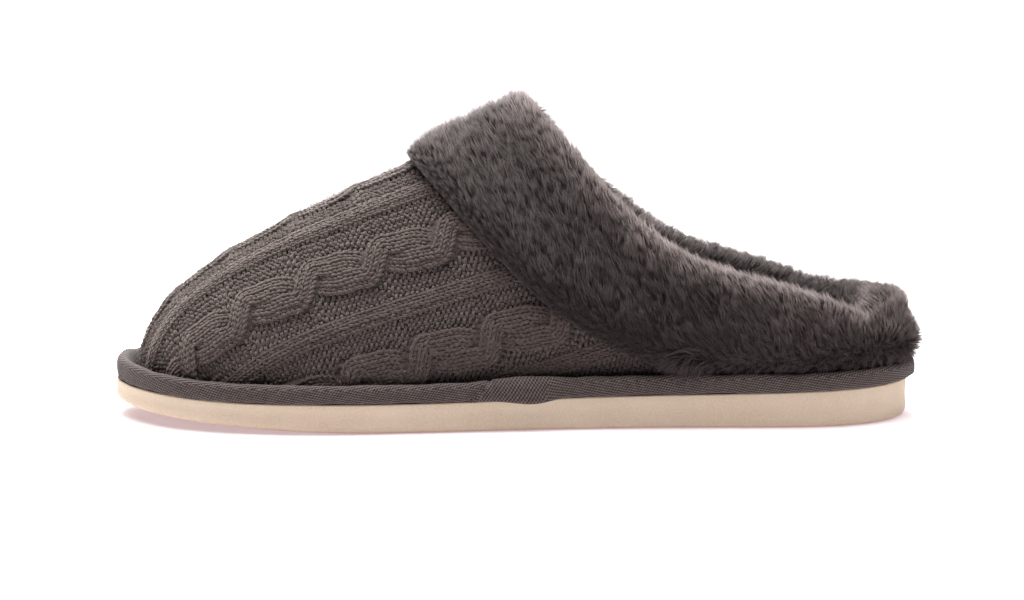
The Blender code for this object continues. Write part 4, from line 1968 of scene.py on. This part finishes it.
    def _outline(self, rows: Array, band: BandRow) -> tuple[Array, Array]:
        """Columns at which a band begins and ends in every row.

        Args:
            rows: Rows of the knit.
            band: The band.

        Returns:
            The first and the last column in each row.
        """
        if band.kind is Band.RIB:
            half = np.full_like(rows, band.wales * self.wale / 2)
            return band.centre - half, band.centre + half
        edges = []
        for strand in (0, 1):
            centre, lean, _, _ = self._strand(rows, band, strand)
            half = band.wales / 4 * self.cable_wale / np.maximum(np.cos(lean), self.least_narrowing)
            edges.extend((centre - half, centre + half))
        return np.min(edges, axis=0), np.max(edges, axis=0)

    def _purl_band(self, sheet: StitchSheet, rows: Array, start: Array, end: Array) -> None:
        """Reverse stitches: short bumps across the wale, each row half a stitch along from the last.

        Args:
            sheet: The chart.
            rows: Rows of the knit.
            start: Column at which the band begins in every row.
            end: Column at which it ends.
        """
        count = max(1, round(float(np.mean(end - start)) / self.wale))
        wide = (end - start) / count
        long = wide * self.purl_length
        across, tip = math.radians(90), math.radians(self.purl_tip)
        upper, lower = self.yarn * self.purl_upper, self.yarn * self.purl_lower
        below = self.purl_lift - self.purl_step
        for k in range(count):
            column = start + (k + 0.5) * wide
            sheet.put(rows, column, self.purl_lift, across + tip, (upper, long, upper))
            half_on = rows + self.course / 2
            sheet.put(half_on, column + wide / 2, below, across - tip, (lower, long, lower))

    def _wale(
        self, sheet: StitchSheet, rows: Array, column: Array, lift: Array, lean: Array, wide: Array
    ) -> None:
        """One column of plain stitches: two slanting legs for each course.

        Args:
            sheet: The chart.
            rows: Row of each stitch.
            column: Column of each stitch.
            lift: How high each stitch lies.
            lean: How far the column leans from the wale there.
            wide: Width of the column there.
        """
        long = self.course * (self.leg_length + self.leg_lean_length * np.abs(np.sin(lean)))
        for side in (-1, 1):
            slant = lean + side * math.radians(self.leg_slant)
            row = rows - np.sin(lean) * side * wide / 4
            place = column + np.cos(lean) * side * wide / 4
            sheet.put(row, place, lift, slant, (wide * self.leg_width, long, self.yarn))

    def _rib(self, sheet: StitchSheet, rows: Array, band: BandRow) -> None:
        """A band of plain stitches that stands a little proud, rounded at its sides.

        Args:
            sheet: The chart.
            rows: Rows of the knit.
            band: The rib.
        """
        for k in range(band.wales):
            off = k - (band.wales - 1) / 2
            lift = self.rib_lift - self.rib_round * off**2
            column = np.full_like(rows, band.centre + off * self.wale)
            even = np.ones_like(rows)
            self._wale(sheet, rows, column, even * lift, even * 0.0, even * self.wale)

    def _crossing(self, row: Array) -> tuple[Array, Array, Array]:
        """Where rows lie between the crossings of a cable.

        Args:
            row: Rows of the knit.

        Returns:
            The number of the nearest crossing, the way past it, and how much of it is felt.
        """
        number = np.round((row - self.cross_first) / self.cross_period)
        past = row - self.cross_first - number * self.cross_period
        return number, past, bell(past, self.cross_spread)

    def _strand(self, row: Array, band: BandRow, strand: int) -> tuple[Array, Array, Array, Array]:
        """One strand of a cable, which swings across in front at one crossing and behind at the next.

        Args:
            row: Rows of the knit.
            band: The cable.
            strand: 0 or 1.

        Returns:
            The column of the strand's middle, its lean, how high it lies, and where it is hidden.
        """
        number, past, felt = self._crossing(row)
        front = (number + strand) % 2 == 0
        sign = np.where(front, 1.0, -1.0)
        half = np.where(front, self.cross_half, self.back_half)
        rest = np.where(front, 0.0, self.back_rest)
        middle = band.wales / 4 * self.cable_wale * (1 + np.where(front, self.cross_over, 0.0) * felt)
        turn = math.pi / 2 * np.clip((np.abs(past) - rest) / half, 0, 1)
        centre = band.centre - sign * np.sign(past) * np.sin(turn) * middle
        lean = -np.arctan(sign * np.cos(turn) * (np.abs(past) >= rest) * middle * math.pi / 2 / half)
        share = self.crown_share if band.centre == 0 else 1.0
        high = np.where(front, self.front_lift, self.back_lift)
        lift = (self.leaf_lift * (1 - felt) + high * felt) * share
        return centre, lean, lift, ~front & (np.abs(past) < self.hidden)

    def _cable(self, sheet: StitchSheet, rows: Array, band: BandRow) -> None:
        """Two strands that change sides at every crossing, the one from below always in front.

        Args:
            sheet: The chart.
            rows: Rows of the knit.
            band: The cable.
        """
        fine = np.arange(0.0, rows[-1], self.path_step)
        felt = self._crossing(fine)[2]
        half = band.wales // 2
        for strand in (0, 1):
            centre, lean, lift, hidden = self._strand(fine, band, strand)
            for k in range(half):
                off = k - (half - 1) / 2
                wide = self.cable_wale * (1 - self.cross_pinch * felt)
                aside = off * wide
                row = fine - np.sin(lean * self.cross_fan) * aside
                column = centre + np.cos(lean * self.cross_fan) * aside
                outer = np.clip(np.abs(column - band.centre) / (half * self.cable_wale), 0, 1)
                drop = self.leaf_round * outer**3 * (1 - felt) + self.front_round * off**2 * felt
                step = np.hypot(np.gradient(row), np.gradient(column))
                gone = np.cumsum(step) - step[0]
                at = np.arange(0.5, gone[-1] / self.course) * self.course
                at = at[~hidden[np.searchsorted(gone, at)]]
                turned = np.arctan2(np.gradient(column), np.gradient(row))
                path = (np.interp(at, gone, part) for part in (row, column, lift - drop, turned, wide))
                self._wale(sheet, *path)

    def _stitches(self, name: str, sheet: StitchSheet, side: int, shape: Object) -> None:
        """Sets the yarn of one side on the last.

        Args:
            name: Name of the piece.
            sheet: The chart.
            side: 1 for the inner side, -1 for the outer one.
            shape: The yarn segment.
        """
        row, column, lift, slant, size = sheet.gathered()
        mine = (column >= 0) if side > 0 else (column < 0)
        row, column, lift, slant, size = (part[mine] for part in (row, column, lift, slant, size))
        draw = np.random.default_rng(self.seed + side)
        purl = lift <= self.purl_lift
        stray = zip((row, column, lift, slant), self.purl_stray, self.plain_stray)
        row, column, lift, slant = (
            part + draw.normal(0, 1, part.shape) * np.where(purl, loose, tight)
            for part, loose, tight in stray
        )
        lift = lift - self._sink(column)
        angle, share = self.fabric.locate(row, column)
        kept = np.isfinite(angle) & np.isfinite(share)
        angle, share = np.where(kept, angle, 0.0), np.where(kept, share, 0.5)
        place = self.last.point(angle, share)
        start = self.last.cuff_start(angle)
        ahead = self.fabric.places(row + self.course / 2, column)
        behind = self.fabric.places(row - self.course / 2, column)
        kept &= np.isfinite(ahead).all(axis=-1) & np.isfinite(behind).all(axis=-1)
        climb = np.linalg.norm(place - self.last.point(angle, start), axis=-1)
        beyond = np.where(share > start, climb, -climb)
        floor = self.last.sole_top(angle) + self.last.binding_height * self.tape_share
        kept &= (beyond < self.under_cuff) & (place[..., 2] > floor)
        normal, _ = self.last.directions(angle, share)
        wale = unit(ahead - behind)
        course = unit(np.cross(normal, wale))
        turned = self.fabric.column_direction(row, column)
        course = np.where((np.sum(course * turned, axis=-1) < 0)[..., None], -course, course)
        along = wale * np.cos(slant)[..., None] + course * np.sin(slant)[..., None]
        stretch = np.linalg.norm(ahead - behind, axis=-1) / self.course
        size = size.copy()
        size[:, 1] *= np.where(purl, 1.0, 1 + (stretch - 1) * np.cos(slant) ** 2)
        tuck = self.tuck * smooth_step((beyond + self.tuck_before) / self.tuck_reach)
        place = place + normal * (lift - tuck)[..., None]
        # Painted light: a painted highlight along the top line, and the purl stitches painted paler.
        worn = self.painted_highlight_most * bell(column - self.painted_highlight_middle, self.painted_highlight_reach)
        worn = np.maximum(worn, np.where(purl, self.purl_painted_light, 0.0))
        points = {"along": along, "outward": normal, "size": size, "worn": worn}
        mesh = self.workshop.mesh(name, place[kept], [], smooth=False)
        self.workshop.keep(mesh, **{key: value[kept] for key, value in points.items()})
        piece = self.workshop.add(mesh)
        values = {"Shape": shape, "Unevenness": self.unevenness, "Seed": self.seed}
        self.scatter.grow(piece, self.scatter.stitch_tree, values, YARN)
        self.workshop.hand_over(piece, Slot.KNIT)


@dataclass
class FurCuff:
    """The fur cuff: a dark undercoat and the pile on it, over the rim and down the inside."""

    last: LastForm
    workshop: Workshop
    scatter: Scatter
    around: int = 160
    out_rows: int = 22
    out_spread: float = 0.9
    cap_rows: int = 9
    lining_rows: int = 10
    cap: float = 0.0050
    lining: float = 0.0040
    lining_share: float = 0.42
    lining_taper: float = 0.97
    lining_stand: float = 0.75
    packed: float = 0.52
    cap_packed: float = 0.55
    pile_edge: float = 0.0036
    pile_edge_reach: float = 0.010
    pile_full: float = 0.0060
    pile_rim: float = 0.0060
    heel_longer: float = 0.35
    heel_longer_from: float = 2.2
    heel_longer_turn: float = 0.7
    # Paleness of the tips: painted highlight along the rim, and tips over the heel painted paler.
    heel_pale: float = 0.60
    heel_pale_from: float = 1.7
    side_pale_from: float = 0.8
    pale_turn: float = 0.6
    front_painted_highlight: float = 0.65
    inner_painted_highlight: float = 0.06
    rim_fade: float = 2.2
    rim_reach: float = 0.009
    inside_cover: float = 0.12
    inside_rim_cover: float = 0.56
    inside_reach: float = 0.6
    parting: tuple[float, float, float] = (0.1145, -0.025, 0.0245)
    parting_reach: float = 0.0075
    parting_pull: float = 0.6
    parting_shorter: float = 0.35
    front_reach: float = 0.86
    ragged_x: float = 0.0545
    ragged_reach: float = 0.0055
    ragged_height: float = 0.014
    ragged_longer: float = 2.1
    ragged_flatter: float = 0.3
    upward_skew: float = 0.15
    edge_reach: float = 0.008
    rising: tuple = ((0.0, 0.7, 1.4, 2.2, math.pi), (0.20, 0.30, 0.95, 1.05, 0.85))
    hanging: tuple = ((0.0, 1.6, 2.0, math.pi), (0.0, 0.0, -0.45, -0.45))
    inside_rising: float = 0.55
    swept: float = 0.75
    stand_over: float = 0.0002
    stand_least: float = 0.14
    stand_most: float = 0.85
    wander: tuple = ((0.17, 0.011, 31), (0.11, 0.005, 51))
    rim_wander: float = 0.6
    seed: int = 21
    skin: Array = field(init=False)
    backing: Array = field(init=False)
    from_edge: Array = field(init=False)
    height: Array = field(init=False)

    def build(self) -> None:
        """Builds the undercoat and the pile."""
        self._section()
        self._undercoat()
        kept = self._lay() | self._dress()
        front = int(self.around * self.front_reach / FULL_TURN)
        half = self.around // 2
        outer = self.out_rows + self.cap_rows // 2 + 1
        spans = {
            "fur_front": (np.arange(-front, front + 1), slice(0, outer)),
            "fur_inner_side": (np.arange(front, half + 1), slice(0, outer)),
            "fur_outer_side": (np.arange(half, self.around - front + 1), slice(0, outer)),
            "fur_inside": (np.arange(self.around + 1), slice(outer - 1, len(self.skin))),
        }
        for number, (name, (columns, rows)) in enumerate(spans.items()):
            skin = self.skin[rows][:, columns % self.around]
            here = {key: value[rows][:, columns % self.around] for key, value in kept.items()}
            faces = grid_faces(*skin.shape[:2])
            self.scatter.strew(name, skin, faces, here, FUR_PILE, self.seed + number)

    def _section(self) -> None:
        """Works out the skin that the pile stands on: outside, over the rim and down the inside."""
        gap = self.last.gap
        angles = ring_angles(self.around)
        start = self.last.cuff_start(angles)
        steps = np.linspace(0, 1, self.out_rows)[:, None] ** self.out_spread
        shares = start + steps * (1 - start)
        ring = np.broadcast_to(angles, shares.shape)
        wall = self.last.point(ring, shares)
        normals, ups = self.last.directions(ring, shares)
        gone = np.linalg.norm(np.diff(wall, axis=0), axis=2)
        from_edge = np.concatenate([np.zeros((1, self.around)), np.cumsum(gone, axis=0)])
        depth = self.last.cuff_depth(ring, shares, from_edge)
        under = depth * self.packed
        outside = wall + normals * (gap + under)[..., None]
        rim, rim_normal, rim_up = wall[-1], normals[-1], ups[-1]
        inner = self.last.wall + gap
        lined = self.lining * self.packed
        middle = (under[-1] - self.last.wall - lined) / 2
        reach = (under[-1] + self.last.wall + lined) / 2 + gap
        cap = []
        for turn in math.pi * np.arange(1, self.cap_rows) / self.cap_rows:
            sideways = (middle + reach * math.cos(turn))[:, None]
            upwards = gap + self.cap * self.cap_packed * math.sin(turn)
            cap.append(rim + rim_normal * sideways + rim_up * upwards)
        down = 1 - np.linspace(0, self.lining_share, self.lining_rows)[:, None] * (1 - start)
        inner_ring = np.broadcast_to(angles, down.shape)
        inner_wall = self.last.point(inner_ring, down)
        inner_normals, _ = self.last.directions(inner_ring, down)
        taper = np.sqrt(1 - np.linspace(0, self.lining_taper, self.lining_rows) ** 2)[:, None, None]
        lining = inner_wall - inner_normals * (inner + lined * taper)
        self.skin = np.concatenate([outside, np.array(cap), lining])
        against = inner_wall - inner_normals * inner
        over = [rim - rim_normal * inner + rim_up * gap, rim + (rim_normal + rim_up) * gap]
        self.backing = np.concatenate([against[::-1], np.stack(over), (wall + normals * gap)[::-1]])
        self.from_edge = np.concatenate([from_edge, np.ones((len(cap) + self.lining_rows, self.around))])
        cap_height = np.full((len(cap), self.around), self.cap * (1 - self.cap_packed))
        inner_height = np.full((self.lining_rows, self.around), self.lining * self.lining_stand)
        self.height = np.concatenate([depth * (1 - self.packed), cap_height, inner_height])

    def _dress(self) -> dict[str, Array]:
        """How thickly the pile stands and how much painted highlight its tips take, at every point of the
        skin.

        Returns:
            The two values by name.
        """
        from_toe = turn_from_toe(ring_angles(self.around))
        to_rim = self.from_edge[self.out_rows - 1] - self.from_edge[: self.out_rows]
        at_heel = smooth_step((from_toe - self.heel_pale_from) / self.pale_turn)
        at_side = smooth_step((from_toe - self.side_pale_from) / self.pale_turn)
        # Painted highlight: tips paler along the rim, over it and a little down the inside; tips over the
        # heel painted paler too.
        rim_painted_highlight = self.front_painted_highlight + (1 - self.front_painted_highlight) * at_side
        outside = np.maximum(smooth_step(1 - to_rim / self.rim_reach) * rim_painted_highlight, self.heel_pale * at_heel)
        over = np.linspace(0.0, 1.0, self.cap_rows - 1)[:, None]
        over_rim = rim_painted_highlight * (1 - over) ** self.rim_fade + self.inner_painted_highlight * over
        deep = np.linspace(0, 1, self.lining_rows)[:, None] + np.zeros_like(from_toe)
        near_rim = 1 - smooth_step(deep / self.inside_reach)
        cover = np.ones((self.out_rows + self.cap_rows - 1, self.around))
        cover = np.concatenate([cover, self.inside_cover + self.inside_rim_cover * near_rim])
        return {"cover": cover, "pale": np.concatenate([outside, over_rim, self.inner_painted_highlight * (1 - deep)])}

    def _undercoat(self) -> None:
        """The closed base of the cuff."""
        loops = np.concatenate([self.skin, self.backing])
        faces = ring_faces(len(loops), self.around, closed_rows=True)
        mesh = self.workshop.mesh("fur_undercoat", loops, faces)
        piece = self.workshop.add(mesh, UNDERCOAT)
        self.workshop.hand_over(piece, Slot.FUR, "fur_cuff")

    def _lay(self) -> dict[str, Array]:
        """How the pile lies at every point of the skin.

        Returns:
            Its lean, the way out of the skin and its length, by name.
        """
        ring = unit(np.roll(self.skin, -1, axis=1) - np.roll(self.skin, 1, axis=1))
        along = unit(np.gradient(self.skin, axis=0))
        outward = unit(np.cross(ring, along))
        level = np.sum(outward * UP, axis=-1, keepdims=True)
        upward = unit(UP - outward * level + along * self.upward_skew)
        from_toe = turn_from_toe(ring_angles(self.around))[None, :]
        near_edge = smooth_step(1 - self.from_edge / self.edge_reach)
        climb = np.interp(from_toe, *self.rising) * (1 - near_edge)
        climb = climb + np.interp(from_toe, *self.hanging) * near_edge
        climb[self.out_rows + self.cap_rows :] *= self.inside_rising
        ragged = bell(self.skin[..., 0] - self.ragged_x, self.ragged_reach)
        ragged = (ragged * smooth_step(1 - self.from_edge / self.ragged_height))[..., None]
        sweep = unit(upward * climb[..., None] - ring * self.swept)
        sweep = unit(sweep * (1 - ragged) - UP * ragged)
        full = smooth_step(self.from_edge / self.pile_edge_reach)
        length = self.pile_edge + (self.pile_full - self.pile_edge) * full
        length[self.out_rows :] = self.pile_rim
        at_heel = smooth_step((from_toe - self.heel_longer_from) / self.heel_longer_turn)
        length = length * (1 + self.ragged_longer * ragged[..., 0]) * (1 + self.heel_longer * at_heel)
        away = self.skin - np.array(self.parting)
        felt = bell(np.linalg.norm(away, axis=-1), self.parting_reach)
        parted = unit(away - outward * np.sum(away * outward, axis=-1, keepdims=True))
        parted = parted * felt[..., None] * self.parting_pull
        length = length * (1 - self.parting_shorter * felt**4)
        stand = np.clip((self.height + self.stand_over) / length, self.stand_least, self.stand_most)
        stand = stand[..., None] * (1 - self.ragged_flatter * ragged)
        wander = np.zeros_like(self.skin)
        for far, size, seed in self.wander:
            lumps = [soft_lumps(self.skin, size, seed + k) for k in range(3)]
            wander += far * np.stack(lumps, axis=-1)
        wander[self.out_rows :] *= self.rim_wander
        lay = outward * stand + sweep * np.sqrt(1 - stand**2) + parted
        return {"lay": unit(lay + wander), "outward": outward, "pile": length}


@dataclass
class InsidePlush:
    """Short plush on the footbed and on the inside of the wall."""

    last: LastForm
    workshop: Workshop
    scatter: Scatter
    footbed: Footbed
    pile: float = 0.0034
    seen_from: float = -0.020
    seen_reach: float = 0.045
    unseen_cover: float = 0.02
    bare_toe: int = 6
    bare_heel: int = 2
    around: int = 160
    rows: int = 24
    low_share: float = 0.10
    under_fur: float = 0.36
    clear: float = 0.0002
    sweep: tuple[float, float, float] = (0.6, 0.3, 0.2)
    stand: float = 0.75
    swept: float = 0.5
    seed: int = 41

    def build(self) -> None:
        """Grows the plush of the footbed and of the wall."""
        top = self.footbed.surface[self.bare_toe : -self.bare_heel, 1:-1]
        self._plush("footbed_plush", top, np.broadcast_to(UP, top.shape), self.seed)
        angles = np.linspace(0, FULL_TURN, self.around + 1)
        high = 1 - self.under_fur * (1 - self.last.cuff_start(angles))
        shares = self.low_share + np.linspace(0, 1, self.rows)[:, None] * (high - self.low_share)
        ring = np.broadcast_to(angles, shares.shape)
        normals, _ = self.last.directions(ring, shares)
        inside = self.last.point(ring, shares) - normals * (self.last.wall + self.clear)
        self._plush("lining_plush", inside, -normals, self.seed + 1)

    def _plush(self, name: str, skin: Array, outward: Array, seed: int) -> None:
        """Grows plush on a grid of points.

        Args:
            name: Name of the piece.
            skin: The points, in rows.
            outward: The way out of the surface, into the shoe, at every point.
            seed: Seed of the piece.
        """
        back, up, down = self.sweep
        sweep = unit(BACK * back + UP * up - outward * down)
        seen = smooth_step((skin[..., 0] - self.seen_from) / self.seen_reach)
        kept = {"lay": unit(outward * self.stand + sweep * self.swept), "outward": outward}
        kept |= {"pile": np.full(seen.shape, self.pile)}
        kept |= {"cover": seen * (1 - self.unseen_cover) + self.unseen_cover}
        self.scatter.strew(name, skin, grid_faces(*seen.shape), kept, PLUSH_PILE, seed)


@dataclass(frozen=True)
class Lamp:
    """A soft square lamp that faces a place."""

    name: str
    place: tuple[float, float, float]
    target: tuple[float, float, float]
    size: float
    power: float


LAMPS = (
    Lamp("behind", place=(-0.06, 0.50, 0.38), target=(-0.04, 0.0, 0.06), size=0.45, power=9.0),
    Lamp("overhead", place=(-0.04, 0.06, 0.70), target=(-0.04, 0.0, 0.0), size=0.45, power=6.5),
)


@dataclass
class Studio:
    """The white table, the soft light and the camera."""

    workshop: Workshop
    floor_half: float = 12.0
    floor_dark: Colour = (0.60, 0.59, 0.595)
    floor_light: Colour = (0.62, 0.61, 0.615)
    floor_cloud: float = 3.0
    floor_roughness: float = 0.9
    glow: Colour = (1.0, 0.80, 0.87)
    glow_strength: float = 0.38
    sky: Colour = (1.0, 0.965, 0.975)
    sky_strength: float = 0.12
    sun_tilt: float = 14.0
    sun_spread: float = 75.0
    sun_power: float = 5.2
    sensor: float = 36.0
    lens: float = 96.19
    nearest: float = 0.01
    farthest: float = 100.0
    distance: float = 0.900
    elevation: float = 7.5
    aim: tuple[float, float, float] = (-0.0023, 0.0, 0.0365)

    def build(self) -> None:
        """Sets everything up."""
        self._floor()
        self._sky()
        self._sun()
        for lamp in LAMPS:
            self._lamp(lamp)
        self._camera()

    def _floor(self) -> None:
        """A plain pale floor."""
        side = self.floor_half
        corners = np.array([(-side, -side, 0), (side, -side, 0), (side, side, 0), (-side, side, 0)], float)
        mesh = self.workshop.mesh("floor", corners, [(0, 1, 2, 3)])
        board = PaintBoard("pale_floor")
        cloud = board.noise(self.floor_cloud)
        board.set("Base Color", board.mix(cloud, self.floor_dark, self.floor_light))
        board.set("Emission Color", (*self.glow, 1.0))
        board.set("Emission Strength", self.glow_strength)
        board.set("Roughness", self.floor_roughness)
        mesh.materials.append(board.material)
        floor = self.workshop.add(mesh)

    def _sky(self) -> None:
        """Even white light from all round."""
        scene = bpy.context.scene
        scene.view_settings.view_transform = "Standard"
        world = bpy.data.worlds.new("white_room")
        world.use_nodes = True
        background = world.node_tree.nodes["Background"].inputs
        background["Color"].default_value = (*self.sky, 1.0)
        background["Strength"].default_value = self.sky_strength
        scene.world = world

    def _sun(self) -> None:
        """A wide soft light from above, tilted so that it comes a little from behind."""
        sun = bpy.data.lights.new("daylight", "SUN")
        sun.angle = math.radians(self.sun_spread)
        sun.energy = self.sun_power
        lean = math.radians(self.sun_tilt)
        self._put(sun, np.array([0.0, math.sin(lean), math.cos(lean)]), np.zeros(3))

    def _lamp(self, lamp: Lamp) -> None:
        """Hangs one lamp."""
        light = bpy.data.lights.new(lamp.name, "AREA")
        light.shape = "SQUARE"
        light.size = lamp.size
        light.energy = lamp.power
        self._put(light, np.array(lamp.place), np.array(lamp.target))

    def _camera(self) -> None:
        """The camera, at the height and distance of the photograph."""
        rise = math.radians(self.elevation)
        back = np.array([0.0, -math.cos(rise), math.sin(rise)])
        camera = bpy.data.cameras.new("camera")
        camera.sensor_width = self.sensor
        camera.lens = self.lens
        camera.clip_start = self.nearest
        camera.clip_end = self.farthest
        aim = np.array(self.aim)
        bpy.context.scene.camera = self._put(camera, aim + back * self.distance, aim)

    @staticmethod
    def _put(kind: ID, place: Array, target: Array) -> Object:
        """Puts a lamp or the camera somewhere and turns it to a target.

        Args:
            kind: The lamp's or the camera's own settings.
            place: Where it goes.
            target: What it faces.

        Returns:
            The lamp or the camera in the scene.
        """
        ahead = unit(target - place)
        right = unit(np.cross(ahead, UP))
        matrix = np.eye(4)
        matrix[:3] = np.stack([right, np.cross(right, ahead), -ahead, place], axis=-1)
        made = bpy.data.objects.new(kind.name, kind)
        made.matrix_world = Matrix(matrix.tolist())
        bpy.context.scene.collection.objects.link(made)
        return made


def main() -> None:
    """Builds the studio and every piece of the slipper, in order."""
    logging.basicConfig(level=logging.INFO, format="%(message)s")
    last = LastForm()
    workshop = Workshop()
    scatter = Scatter(workshop)
    Studio(workshop).build()
    FoamSole(last, workshop).build()
    EdgeBinding(last, workshop).build()
    footbed = Footbed(last, workshop)
    footbed.build()
    KnitUpper(last, workshop, scatter).build()
    FurCuff(last, workshop, scatter).build()
    InsidePlush(last, workshop, scatter, footbed).build()


if __name__ == "__main__":
    main()
